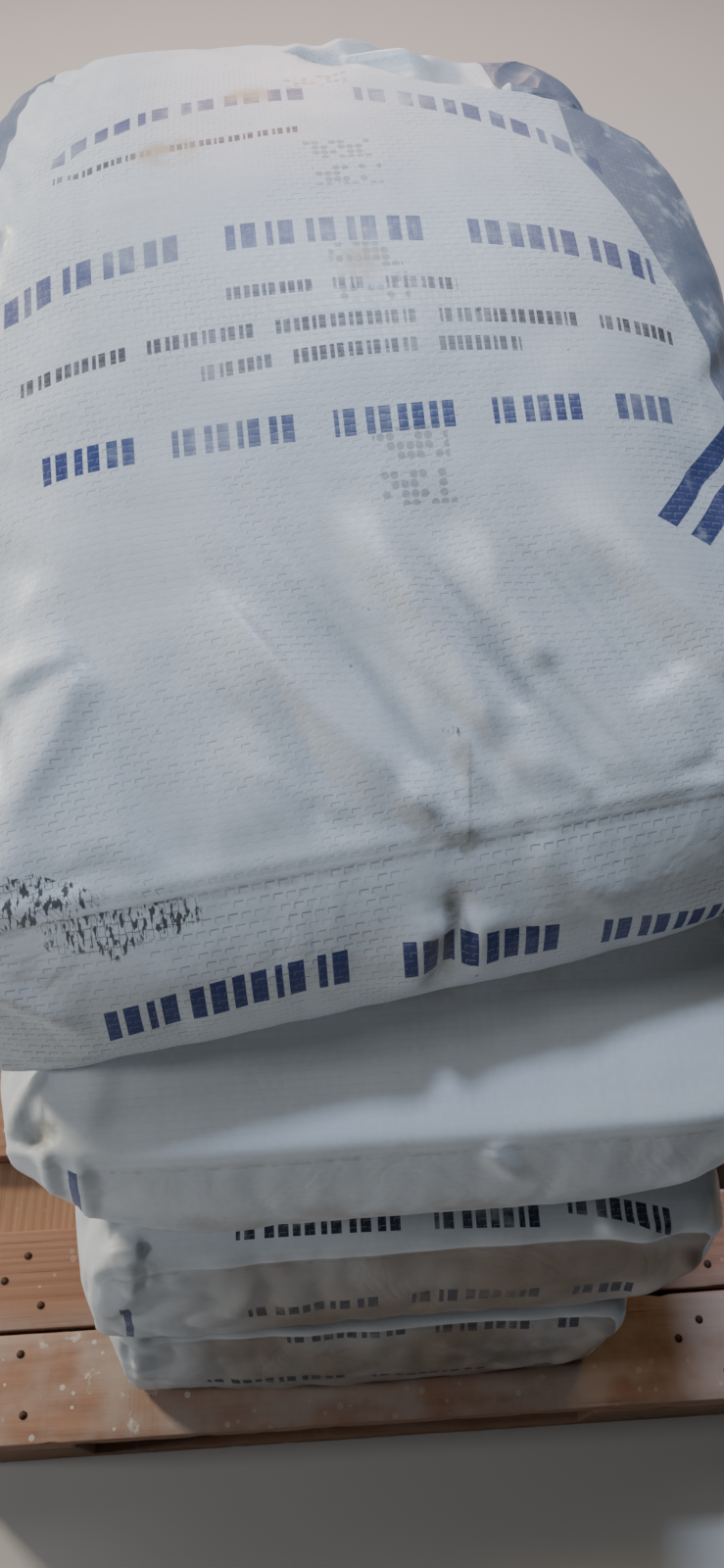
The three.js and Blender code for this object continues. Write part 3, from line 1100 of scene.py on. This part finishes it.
@dataclass(frozen=True)
class SawnWood:
    """Rough-sawn softwood: growth rings round a pith under the board, fibres, saw marks, dust and some
    painted light.
    """

    name: str
    pale: Colour
    dark: Colour
    dusty: float = 0.0
    crack_colour: Colour = (0.03, 0.015, 0.008)
    powder_colour: Colour = (0.62, 0.60, 0.57)
    film_and_light_colour: Colour = (0.44, 0.39, 0.36)
    heap: Point = (-0.50, -0.465)
    heap_reach: Point = (0.16, 0.07)
    film_and_light_edge: Point = (-0.395, -0.430)

    def make(self) -> bpy.types.Material:
        """Builds the material."""
        bench = Bench(self.name)
        along, across, up = bench.split(bench.attribute("grain"))
        wander = bench.grain(bench.join(along * 1.6, across * 0.2, up * 0.2), 1.0, 2.0) - 0.5
        depth = bench.math("SQRT", across * across + (up + 0.05 * wander) * (up + 0.05 * wander))
        rough = bench.grain(bench.join(along * 4.0, across * 30.0, up * 30.0), 1.0, 3.0)
        rings = ((depth / 0.0048 + 1.3 * rough) * (2.0 * math.pi)).sine() * 0.5 + 0.5
        fibres = bench.grain(bench.join(along * 14.0, across * 520.0, up * 520.0), 1.0, 3.0, 0.6)
        patches = bench.grain(bench.join(along * 3.0, across * 14.0, up * 14.0), 1.0, 3.0)
        saw = bench.grain(bench.join(along * 420.0, across * 9.0, up * 9.0), 1.0, 2.0)
        cracks = bench.grain(bench.join(along * 5.0, across * 260.0, up * 260.0), 1.0, 1.0)
        crack = cracks.rise(0.73, 0.78)

        share = (0.24 * rings ** 2.0 + 0.6 * (fibres - 0.35) + 1.0 * (patches - 0.42)).clip()
        colour = bench.mix(share, self.pale, self.dark)
        colour = bench.mix(crack * 0.8, colour, self.crack_colour)
        colour, chalk = self._dust_and_light(bench, colour)
        height = 0.5 * fibres + 0.35 * saw - 0.3 * rings - 0.9 * crack + chalk
        bench.bump(height, 0.0005)
        bench.feed(Base_Color=colour, Roughness=0.72 + 0.16 * fibres, Specular_IOR_Level=0.25)
        return bench.material

    def _dust_and_light(self, bench: Bench, colour: object) -> tuple[object, Signal]:
        """Specks and smears of pale powder, thickest beside the near left of the pile, and a thin film on the
        front boards that is dust and also painted light.

        Returns:
            The colour with the powder and the film on it, and how high the powder stands.
        """
        place = bench.place()
        x, y, _ = bench.split(place)
        _, _, level = bench.split(bench.facing())
        near = oval(x, y, self.heap, self.heap_reach)
        thick = near.rise(1.6, 0.0)
        away, chance = bench.cells(place, 95.0)
        speck = away.below(0.05 + 0.2 * chance * chance) * chance.above(0.62 - 0.35 * thick)
        smear = bench.grain(place, 60.0, 4.0, 0.65).rise(0.62, 0.74) * thick
        flat = level.rise(0.7, 0.9) * self.dusty
        share = (speck * (0.25 + 0.75 * thick) + smear).clip() * flat
        # The film on the front boards is pale dust and also painted light where the pile shades them.
        film = y.rise(*self.film_and_light_edge) * bench.grain(place, 22.0, 3.0, 0.6).rise(0.25, 0.7) * flat
        colour = bench.mix(film * 0.68, colour, self.film_and_light_colour)
        return bench.mix(share * 0.85, colour, self.powder_colour), share * 0.6


@dataclass(frozen=True)
class RustyNail:
    """Dull dark steel, rusted in patches."""

    name: str = "rusty_nail_steel"

    def make(self) -> bpy.types.Material:
        """Builds the material."""
        bench = Bench(self.name)
        rust = bench.grain(bench.place(), 700.0, 3.0).rise(0.4, 0.62)
        colour = bench.mix(rust, (0.035, 0.03, 0.028), (0.10, 0.04, 0.018))
        bench.feed(Base_Color=colour, Roughness=0.55 + 0.3 * rust, Metallic=0.6 - 0.5 * rust)
        return bench.material


@dataclass(frozen=True)
class PlainFloor:
    """Plain pale grey floor."""

    name: str = "pale_floor"

    def make(self) -> bpy.types.Material:
        """Builds the material."""
        bench = Bench(self.name)
        faint = bench.grain(bench.place(), 3.0, 3.0)
        bench.feed(Base_Color=bench.shade((0.52, 0.52, 0.51), 0.97 + 0.06 * faint), Roughness=0.8)
        return bench.material


@dataclass
class Timber:
    """One sawn board or block, cut from the space of its CAD node, with slightly uneven edges."""

    node: str
    seed: int
    bevel: float = 0.0018
    step: float = 0.009
    rough: float = 0.0009
    edge_zone: float = 0.003
    knock: float = 0.004

    def build(self) -> bpy.types.Object:
        """Makes the board's mesh."""
        low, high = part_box(self.node)
        size = high - low
        middle = (low + high) / 2
        long_axis = 0 if size.x >= size.y else 1
        mesh = bmesh.new()
        bmesh.ops.create_cube(mesh, size=1.0)
        bmesh.ops.scale(mesh, vec=size, verts=mesh.verts)
        bmesh.ops.bevel(mesh, geom=list(mesh.edges), offset=self.bevel, offset_type="OFFSET", segments=2,
                        profile=0.5, affect="EDGES", material=-1, clamp_overlap=True)
        for axis in range(3):
            self._cut(mesh, axis, size[axis], self.step if axis == long_axis else self.step * 1.3)
        bmesh.ops.translate(mesh, vec=middle, verts=mesh.verts)
        piece = make_object(f"sawn_{self.node}", mesh)
        self._mark_grain(piece.data, long_axis, middle)
        self._roughen(piece.data, low, high)
        return piece

    @staticmethod
    def _cut(mesh: bmesh.types.BMesh, axis: int, size: float, step: float) -> None:
        """Cuts the mesh across one axis into even slices."""
        slices = max(1, round(size / step))
        direction = Vector((0.0, 0.0, 0.0))
        direction[axis] = 1.0
        for number in range(1, slices):
            place = direction * (size * (number / slices - 0.5))
            bmesh.ops.bisect_plane(mesh, geom=mesh.verts[:] + mesh.edges[:] + mesh.faces[:], dist=1e-6,
                                   plane_co=place, plane_no=direction)

    def _mark_grain(self, data: bpy.types.Mesh, long_axis: int, middle: Vector) -> None:
        """Keeps each point's place along the board and out from its pith, for the wood's rings."""
        draw = np.random.default_rng(self.seed)
        points = read_points(data) - np.array(middle)
        pith_across, pith_down = draw.uniform(-0.05, 0.05), draw.uniform(0.02, 0.08)
        grain = np.column_stack((
            points[:, long_axis] + draw.uniform(0.0, 30.0),
            points[:, 1 - long_axis] + pith_across,
            points[:, 2] + pith_down,
        ))
        layer = data.attributes.new("grain", "FLOAT_VECTOR", "POINT")
        layer.data.foreach_set("vector", grain.astype(np.float32).ravel())

    def _roughen(self, data: bpy.types.Mesh, low: Vector, high: Vector) -> None:
        """Draws the faces in by up to the roughness, most where the saw wandered or an edge was knocked."""
        points, normals = read_points(data), read_normals(data)
        seed = Vector((self.seed * 1.7, 0.0, 0.0))
        broad = np.array([noise.noise(Vector(p) * 14.0 + seed) for p in points])
        fine = np.array([noise.noise(Vector(p) * 70.0 + seed) for p in points])
        near_edge = np.zeros(len(points))
        for axis in range(3):
            to_face = np.minimum(points[:, axis] - low[axis], high[axis] - points[:, axis])
            near_edge += to_face < self.edge_zone
        knocked = (near_edge >= 2) * np.clip(fine - 0.25, 0.0, 1.0) * self.knock
        inward = self.rough * (0.5 + 0.35 * broad + 0.15 * fine) + knocked
        moved = points - normals * np.clip(inward, 0.0, self.knock)[:, None]
        write_points(data, moved)


@dataclass
class Pallet:
    """The wooden block pallet: boards and blocks from the frame, and the nails in its deck.

    A nail's head is a disc that is narrower at its crown and stands a little proud of the board.
    """

    deck_count: int = 8
    nail_radius: float = 0.0033
    nail_proud: float = 0.0003
    nail_thick: float = 0.0016
    nail_crown: float = 0.86
    nail_sides: int = 14
    nail_shift: float = 0.02
    nail_wander: float = 0.004
    nail_seed: int = 5
    deck_wood: SawnWood = SawnWood("deck_softwood", (0.37, 0.215, 0.150), (0.19, 0.095, 0.062), 1.0)
    frame_wood: SawnWood = SawnWood("frame_softwood", (0.39, 0.235, 0.155), (0.19, 0.10, 0.062), 0.4)
    block_wood: SawnWood = SawnWood("block_softwood", (0.32, 0.195, 0.13), (0.15, 0.08, 0.05), 0.2)

    def build(self) -> None:
        """Builds and dresses every timber, then the nails."""
        finishes = {
            "deck": (self.deck_wood.make(), "deck_wood"),
            "cross": (self.frame_wood.make(), "frame_wood"),
            "block": (self.block_wood.make(), "block_wood"),
        }
        finishes["bottom"] = finishes["cross"]
        timbers = [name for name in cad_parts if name.split("_")[0] in finishes]
        for seed, node in enumerate(sorted(timbers), start=1):
            piece = Timber(node, seed).build()
            dress(piece, *finishes[node.split("_")[0]])
            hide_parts(node)
            log.info("%s: %d faces", piece.name, len(piece.data.polygons))
        self._nail_deck()

    def _nail_places(self) -> list[Vector]:
        """Where nails hold the deck boards to the cross boards: three to a crossing."""
        draw = np.random.default_rng(self.nail_seed)
        places = []
        for number in range(1, self.deck_count + 1):
            low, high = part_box(f"deck_board_{number}")
            width, middle = high.y - low.y, (low.y + high.y) / 2
            for side in ("left", "middle", "right"):
                cross_low, cross_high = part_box(f"cross_board_{side}")
                centre = (cross_low.x + cross_high.x) / 2
                for step, aside in ((0.28, 0.003), (0.02, -0.013), (-0.22, 0.015)):
                    wander = draw.uniform(-self.nail_wander, self.nail_wander, 2)
                    x = centre + self.nail_shift + aside + wander[0]
                    y = middle + step * width + wander[1]
                    places.append(Vector((x, y, high.z)))
        return places

    def _nail_deck(self) -> None:
        """Makes all nail heads as one mesh of low domed discs."""
        mesh = bmesh.new()
        sunk = self.nail_proud - self.nail_thick
        for place in self._nail_places():
            head = bmesh.ops.create_circle(mesh, cap_ends=True, segments=self.nail_sides,
                                           radius=self.nail_radius)
            base = [f for v in head["verts"][:1] for f in v.link_faces]
            raised = bmesh.ops.extrude_face_region(mesh, geom=base)
            crown = [v for v in raised["geom"] if isinstance(v, bmesh.types.BMVert)]
            bmesh.ops.translate(mesh, vec=(0.0, 0.0, self.nail_thick), verts=crown)
            bmesh.ops.scale(mesh, vec=(self.nail_crown, self.nail_crown, 1.0), verts=crown)
            bmesh.ops.translate(mesh, vec=place + Vector((0.0, 0.0, sunk)), verts=head["verts"] + crown)
        bmesh.ops.recalc_face_normals(mesh, faces=mesh.faces)
        piece = make_object("deck_nail_heads", mesh)
        dress(piece, RustyNail().make(), None)
        log.info("%s: %d faces", piece.name, len(piece.data.polygons))


NAVY: Colour = (0.022, 0.038, 0.16)
SLATE: Colour = (0.09, 0.105, 0.22)
CHARCOAL: Colour = (0.07, 0.07, 0.09)
SHADED_INK: Colour = (0.02, 0.022, 0.05)
TAN: Colour = (0.42, 0.33, 0.22)
GREY_GREEN: Colour = (0.20, 0.19, 0.14)


@dataclass
class SackPile:
    """The pile of four sacks, laid from the bottom up."""

    pile: PileForm = PileForm()

    def shapes(self) -> list[SackShape]:
        """The four sacks' places and widths, from the bottom up."""
        return [
            SackShape(
                "sack_1", 1, x=-0.236, front=-0.468, turn=0.0, lean=0.014, twist=0.0,
                shear=0.012, skew=0.0, bulge=0.010, pull=0.0, corner=16.0,
                near_width=0.350, belly_width=0.434, far_width=0.390,
            ),
            SackShape(
                "sack_2", 2, x=-0.209, front=-0.446, turn=-0.6, lean=0.014, twist=0.0,
                shear=0.022, skew=0.004, bulge=0.014, pull=0.0, corner=16.0,
                near_width=0.382, belly_width=0.440, far_width=0.396,
            ),
            SackShape(
                "sack_3", 3, x=-0.221, front=-0.392, turn=0.4, lean=-0.018, twist=0.0,
                shear=0.0, skew=0.0, bulge=0.026, pull=0.018, corner=6.0,
                near_width=0.428, belly_width=0.456, far_width=0.406,
            ),
            SackShape(
                "sack_4", 4, x=-0.233, front=-0.325, turn=3.0, lean=0.0175, twist=-0.0045,
                shear=0.0, skew=0.027, bulge=0.030, pull=0.006, corner=8.0,
                near_width=0.448, belly_width=0.472, far_width=0.400, topmost=True,
            ),
        ]

    def folds(self) -> dict[str, tuple[Fold, ...]]:
        """The folds of each sack that the pile shows."""
        top, near = Face.TOP, Face.NEAR
        return {
            "sack_1": (
                Fold(near, (-0.174, 0.128), (-0.172, 0.090), -0.0060, 0.004, 0.005),
                Fold(near, (-0.164, 0.124), (-0.176, 0.040), 0.0040, 0.010, 0.004, 0.002),
                Fold(near, (-0.130, 0.018), (0.170, 0.014), 0.0030, 0.006, 0.014),
                Fold(near, (0.040, 0.112), (0.110, 0.050), 0.0030, 0.009, 0.006, 0.004),
                Fold(near, (0.168, 0.120), (0.120, 0.030), 0.0045, 0.008, 0.010, 0.003),
                Fold(top, (-0.176, 0.028), (-0.150, 0.016), 0.0040, 0.004, 0.008),
            ),
            "sack_2": (
                Fold(near, (-0.158, 0.274), (-0.204, 0.192), 0.0042, 0.006, 0.016, 0.004),
                Fold(near, (-0.1600, 0.270), (-0.1650, 0.244), -0.0028, 0.003, 0.004),
                Fold(near, (-0.178, 0.252), (-0.120, 0.256), 0.0025, 0.004, 0.008),
                Fold(near, (-0.113, 0.205), (-0.088, 0.262), 0.0030, 0.010, 0.006, 0.002),
                Fold(near, (-0.200, 0.176), (-0.080, 0.166), 0.0035, 0.010, 0.004),
                Fold(near, (0.109, 0.275), (0.165, 0.262), 0.0060, 0.010, 0.004, -0.004),
                Fold(near, (0.180, 0.240), (0.120, 0.170), 0.0060, 0.006, 0.012, 0.004),
                Fold(top, (-0.164, 0.044), (-0.188, 0.026), -0.0022, 0.004, 0.005),
                Fold(top, (-0.160, 0.024), (-0.190, 0.020), 0.0045, 0.006, 0.003),
            ),
            "sack_3": (
                Fold(top, (-0.198, -0.004), (-0.184, 0.014), -0.0030, 0.004, 0.005),
                Fold(top, (-0.198, 0.002), (-0.176, 0.000), -0.0030, 0.004, 0.004),
                Fold(top, (-0.209, 0.004), (-0.186, 0.038), 0.0045, 0.004, 0.007, 0.002),
                Fold(top, (-0.164, -0.004), (-0.154, 0.046), 0.0014, 0.012, 0.008, -0.002),
                Fold(near, (-0.166, 0.404), (-0.172, 0.330), 0.0035, 0.004, 0.006),
                Fold(near, (-0.184, 0.404), (-0.188, 0.350), 0.0040, 0.004, 0.005),
                Fold(near, (-0.180, 0.352), (-0.060, 0.338), 0.0040, 0.008, 0.004, 0.003),
                Fold(near, (0.040, 0.398), (0.064, 0.372), 0.0030, 0.008, 0.005),
                Fold(near, (0.190, 0.398), (0.130, 0.340), 0.0045, 0.008, 0.010, 0.003),
            ),
            "sack_4": (
                # Ridges and grooves that fan out over the top from the pinch.
                Fold(top, (0.028, 0.022), (-0.085, 0.148), 0.0095, 0.010, 0.007, 0.004, 1.2),
                Fold(top, (0.058, 0.060), (-0.016, 0.184), 0.0085, 0.008, 0.006, -0.003, 0.9),
                Fold(top, (0.082, 0.090), (0.044, 0.172), 0.0055, 0.009, 0.007, 0.0, 0.6),
                Fold(top, (0.098, 0.036), (0.056, 0.064), 0.0040, 0.006, 0.006, 0.0, 0.4),
                Fold(top, (0.188, 0.080), (0.098, 0.186), 0.0075, 0.012, 0.014, 0.004, 0.5),
                Fold(top, (0.014, 0.040), (-0.030, 0.145), -0.0050, 0.009, 0.009, 0.0, 0.7),
                Fold(top, (0.066, 0.072), (0.044, 0.120), -0.0030, 0.006, 0.006, 0.0, 0.4),
                Fold(top, (0.140, 0.078), (0.098, 0.156), -0.0050, 0.016, 0.016, 0.0, 0.2),
                Fold(top, (-0.020, 0.032), (-0.076, 0.084), 0.0022, 0.004, 0.005, 0.0, 0.3),
                Fold(top, (-0.036, 0.041), (-0.070, 0.062), 0.0018, 0.004, 0.004),
                # Wrinkles over the left edge.
                Fold(top, (-0.142, 0.116), (-0.192, 0.100), 0.0050, 0.005, 0.012, -0.003, 0.4),
                Fold(top, (-0.140, 0.113), (-0.190, 0.034), 0.0060, 0.007, 0.018, 0.006, 0.3),
                Fold(top, (-0.186, 0.100), (-0.180, 0.050), -0.0040, 0.005, 0.006),
                # The pinch, on the top and on the near end.
                Fold(top, (0.031, 0.020), (0.034, 0.062), 0.0030, 0.004, 0.006),
                Fold(top, (0.018, 0.020), (-0.004, 0.036), -0.0016, 0.005, 0.006),
                Fold(near, (0.0290, 0.514), (0.0100, 0.436), -0.0042, 0.0045, 0.009, 0.002),
                Fold(near, (0.0190, 0.503), (-0.0070, 0.452), 0.0045, 0.006, 0.013, 0.0, 0.9),
                Fold(near, (0.0380, 0.503), (0.0300, 0.450), 0.0035, 0.010, 0.005, 0.0, 0.5),
                # Layers at the near end's corners.
                Fold(near, (-0.218, 0.446), (-0.110, 0.462), 0.0045, 0.009, 0.004, 0.003),
                Fold(near, (-0.218, 0.432), (-0.135, 0.440), 0.0045, 0.008, 0.0035, 0.002),
                Fold(near, (-0.218, 0.418), (-0.160, 0.424), 0.0040, 0.007, 0.0035, 0.0),
                Fold(near, (-0.205, 0.500), (-0.150, 0.470), 0.0030, 0.008, 0.005, 0.003),
                Fold(near, (0.060, 0.520), (0.120, 0.480), 0.0030, 0.012, 0.008, 0.003),
                # The fallen right of the far end and its edges.
                Fold(top, (-0.008, 0.545), (0.092, 0.455), -0.019, 0.130, 0.005, -0.008),
                Fold(top, (0.060, 0.470), (0.300, 0.430), -0.026, 0.140, 0.005, -0.004),
                Fold(top, (0.010, 0.505), (0.200, 0.425), 0.005, 0.008, 0.030, -0.006),
                Fold(top, (0.020, 0.552), (0.094, 0.548), 0.010, 0.020, 0.007, 0.002),
                Fold(top, (0.100, 0.492), (0.196, 0.452), 0.009, 0.008, 0.012, 0.003),
                Fold(top, (0.125, 0.520), (0.205, 0.500), 0.008, 0.012, 0.006),
                # Grooves down the left side, far along it.
                Fold(top, (-0.186, 0.392), (-0.206, 0.330), -0.0050, 0.006, 0.006, 0.003),
                Fold(top, (-0.176, 0.372), (-0.200, 0.300), -0.0040, 0.006, 0.006, 0.003),
                Fold(top, (-0.190, 0.318), (-0.206, 0.270), -0.0045, 0.006, 0.006),
            ),
        }

    def finishes(self) -> dict[str, WovenSackFinish]:
        """The finish of each sack."""
        top_rows = (
            PrintRow((-0.150, 0.417), (0.012, 0.453), (0.160, 0.379), 0.014, 0.0250, SLATE, (6,), 0.5),
            PrintRow((-0.148, 0.394), (-0.080, 0.406), (-0.010, 0.416), 0.0065, 0.0082, CHARCOAL, (7,), 0.35),
            PrintRow((-0.185, 0.302), (-0.006, 0.330), (0.172, 0.306), 0.017, 0.0215, SLATE, (5, 11), 0.3),
            PrintRow((-0.058, 0.292), (0.002, 0.294), (0.062, 0.291), 0.0075, 0.0092, CHARCOAL, (5, 8), 0.3),
            PrintRow((-0.166, 0.256), (-0.011, 0.272), (0.175, 0.265), 0.0080, 0.0094, CHARCOAL,
                     (6, 13, 22, 31), 0.3),
            PrintRow((-0.074, 0.248), (0.008, 0.256), (0.091, 0.256), 0.0080, 0.0094, CHARCOAL, (4, 12), 0.3),
            PrintRow((-0.156, 0.209), (-0.012, 0.217), (0.167, 0.222), 0.0140, 0.0162, NAVY,
                     (3, 8, 13, 17), 0.25),
        )
        return {
            "sack_1": WovenSackFinish("woven_sack_fabric_1", near_rows=(
                PrintRow((-0.060, 0.127), (0.043, 0.127), (0.144, 0.123), 0.011, 0.017, SHADED_INK,
                         (5, 10), 0.6),
                PrintRow((-0.121, 0.062), (0.000, 0.052), (0.135, 0.043), 0.013, 0.017, SHADED_INK,
                         (6, 12), 0.4),
            ), near_stains=(
                Stain((0.085, 0.085), (0.075, 0.030), (0.10, 0.07, 0.045), 0.6),
                # Painted shadow in the groove of the near end's left corner fold.
                Stain((-0.172, 0.112), (0.009, 0.016), SHADED_INK, 0.9),
            ), near_dust_and_shade=0.95),
            "sack_2": WovenSackFinish("woven_sack_fabric_2", near_rows=(
                PrintRow((-0.103, 0.214), (0.014, 0.219), (0.142, 0.206), 0.013, 0.017, SHADED_INK,
                         (5, 11), 0.5),
            ), top_rows=(
                PrintRow((-0.106, 0.030), (-0.003, 0.031), (0.080, 0.029), 0.012, 0.017, SHADED_INK,
                         (6,), 0.4),
                PrintRow((0.094, 0.036), (0.124, 0.031), (0.155, 0.024), 0.012, 0.017, SHADED_INK, (), 0.4),
            ), near_stripes=(
                Stripe((-0.1765, 0.232), (-0.1835, 0.158), 0.0050, NAVY),
            ), near_dust_and_shade=0.90),
            "sack_3": WovenSackFinish("woven_sack_fabric_3", near_stripes=(
                Stripe((-0.1705, 0.408), (-0.1720, 0.386), 0.0055, NAVY),
                Stripe((-0.1720, 0.387), (-0.1780, 0.335), 0.0060, NAVY),
            ), top_stains=(
                Stain((-0.188, 0.003), (0.013, 0.010), GREY_GREEN, 0.8),
                # Painted shadow, with a little dust, on the ledge beneath the top sack's near end.
                Stain((-0.020, 0.076), (0.175, 0.030), (0.27, 0.22, 0.165), 0.60),
            ), near_stains=(
                Stain((-0.010, 0.345), (0.200, 0.028), (0.30, 0.25, 0.20), 0.5),
            )),
            "sack_4": WovenSackFinish(
                "woven_sack_fabric_4",
                weave_depth=0.00010,
                weave_gap_shade=1.0,
                top_rows=top_rows,
                near_rows=(
                    PrintRow((-0.146, 0.476), (-0.010, 0.486), (0.206, 0.444), 0.018, 0.0205, NAVY,
                             (6, 11), 0.1),
                ),
                bars=SlantedBars(),
                pleated=True,
                top_scuffs=(Scuff((-0.176, 0.009), (0.036, 0.010)),),
                near_scuffs=(Scuff((-0.135, 0.519), (0.036, 0.009)),),
                top_stripes=(
                    Stripe((0.004, 0.516), (0.062, 0.468), 0.006, SLATE),
                    Stripe((0.062, 0.468), (0.112, 0.450), 0.006, SLATE),
                    Stripe((0.0385, 0.063), (0.0300, 0.004), 0.0016, GREY_GREEN, 0.3),
                ),
                top_stains=(
                    Stain((-0.082, 0.402), (0.024, 0.017), TAN, 0.95),
                    Stain((-0.038, 0.457), (0.020, 0.015), TAN, 0.9),
                    Stain((0.013, 0.307), (0.022, 0.016), TAN, 0.5),
                    Stain((0.0345, 0.056), (0.008, 0.011), GREY_GREEN, 0.6),
                    Stain((0.028, 0.020), (0.010, 0.016), GREY_GREEN, 0.3),
                ),
                near_stains=(
                    # Darkening in the pinch groove: painted shade, with some dirt.
                    Stain((0.023, 0.500), (0.006, 0.014), (0.12, 0.10, 0.07), 0.8),
                    Stain((0.014, 0.475), (0.012, 0.030), (0.24, 0.20, 0.15), 0.6),
                ),
                dots=SprayedDots((
                    (0.004, 0.472), (0.009, 0.394), (0.013, 0.371), (0.016, 0.312), (0.018, 0.291),
                    (0.027, 0.205), (0.028, 0.183),
                )),
            ),
        }

    def build(self) -> None:
        """Builds, dresses and lays each sack on the one beneath."""
        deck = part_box("deck_board_1")[1].z
        folds, finishes = self.folds(), self.finishes()
        beneath = None
        for shape in self.shapes():
            piece = Sack(shape, self.pile, deck, folds[shape.name]).build(beneath)
            dress(piece, finishes[shape.name].make(), "woven_sack")
            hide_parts(shape.name)
            beneath = BVHTree.FromObject(piece, bpy.context.evaluated_depsgraph_get())
            log.info("%s: %d faces", piece.name, len(piece.data.polygons))


@dataclass(frozen=True)
class Softbox:
    """One square studio light: its direction and distance from what it faces, in degrees and metres."""

    name: str
    azimuth: float
    elevation: float
    power: float
    colour: Colour
    size: float = 0.6
    reach: float = 2.6
    aim: tuple[float, float, float] = (-0.2, -0.1, 0.5)
    spread: float = 180.0

    def hang(self) -> None:
        """Adds the light to the scene."""
        azimuth, elevation = math.radians(self.azimuth), math.radians(self.elevation)
        level = math.cos(elevation)
        away = Vector((math.cos(azimuth) * level, math.sin(azimuth) * level, math.sin(elevation)))
        light = bpy.data.lights.new(self.name, "AREA")
        light.size = self.size
        light.energy = self.power
        light.color = self.colour
        light.spread = math.radians(self.spread)
        holder = bpy.data.objects.new(self.name, light)
        holder.location = Vector(self.aim) + away * self.reach
        holder.rotation_euler = (-away).to_track_quat("-Z", "Y").to_euler()
        bpy.context.collection.objects.link(holder)


@dataclass
class Studio:
    """Plain pale floor, soft light and the camera at the photograph's viewing angle."""

    lens: float = 27.05
    sensor: float = 36.0
    camera_place: tuple[float, float, float] = (-0.252, -0.579, 1.1525)
    camera_down: float = 57.0
    camera_right: float = 3.35
    floor_size: float = 14.0
    room_light: float = 0.03
    room_seen: float = 0.30
    lights: tuple[Softbox, ...] = (
        Softbox("key", 150.0, 22.0, 68.0, (1.0, 0.88, 0.70), size=0.35),
        Softbox("left", 190.0, 22.0, 20.0, (1.0, 1.0, 1.0), size=0.35),
        Softbox("above", 82.0, 65.0, 57.0, (0.62, 0.76, 1.0), size=0.26),
        Softbox("overhead", 100.0, 75.0, 6.0, (0.95, 1.0, 1.0)),
        Softbox("back", 90.0, 20.0, 22.0, (1.0, 0.60, 0.46)),
        Softbox("right", 50.0, 48.0, 12.0, (1.0, 0.70, 0.35)),
        Softbox("front", 251.0, 8.0, 0.29, (1.0, 1.0, 1.0), size=0.35, reach=1.6, aim=(-0.2, -0.2, 0.74),
                spread=45.0),
    )

    def build(self) -> None:
        """Makes the floor, the lights and the camera."""
        self._lay_floor()
        for light in self.lights:
            light.hang()
        self._paint_room()
        self._set_camera()

    def _paint_room(self) -> None:
        """Makes the room pale to look at, while it gives little light of its own."""
        world = bpy.data.worlds.new("soft_room")
        world.use_nodes = True
        nodes, links = world.node_tree.nodes, world.node_tree.links
        background = nodes["Background"]
        background.inputs["Color"].default_value = (1.0, 0.92, 0.85, 1.0)
        strength = nodes.new("ShaderNodeMath")
        strength.operation = "MULTIPLY_ADD"
        links.new(nodes.new("ShaderNodeLightPath").outputs["Is Camera Ray"], strength.inputs[0])
        strength.inputs[1].default_value = self.room_seen - self.room_light
        strength.inputs[2].default_value = self.room_light
        links.new(strength.outputs[0], background.inputs["Strength"])
        bpy.context.scene.world = world

    def _lay_floor(self) -> None:
        """Makes the floor, which isn't part of the object."""
        mesh = bmesh.new()
        bmesh.ops.create_grid(mesh, x_segments=4, y_segments=4, size=self.floor_size / 2)
        floor = make_object("floor", mesh)
        floor.data.materials.append(PlainFloor().make())

    def _set_camera(self) -> None:
        """Sets the camera over the near end of the pile, looking down along it."""
        camera = bpy.data.cameras.new("camera")
        camera.lens = self.lens
        camera.sensor_width = self.sensor
        camera.clip_start = 0.02
        holder = bpy.data.objects.new("camera", camera)
        holder.location = self.camera_place
        holder.rotation_euler = (math.radians(90.0 - self.camera_down), 0.0, math.radians(-self.camera_right))
        bpy.context.collection.objects.link(holder)
        bpy.context.scene.camera = holder


def main() -> None:
    """Builds the pallet, the pile of sacks and the studio."""
    Pallet().build()
    SackPile().build()
    Studio().build()


if __name__ == "__main__":
    main()
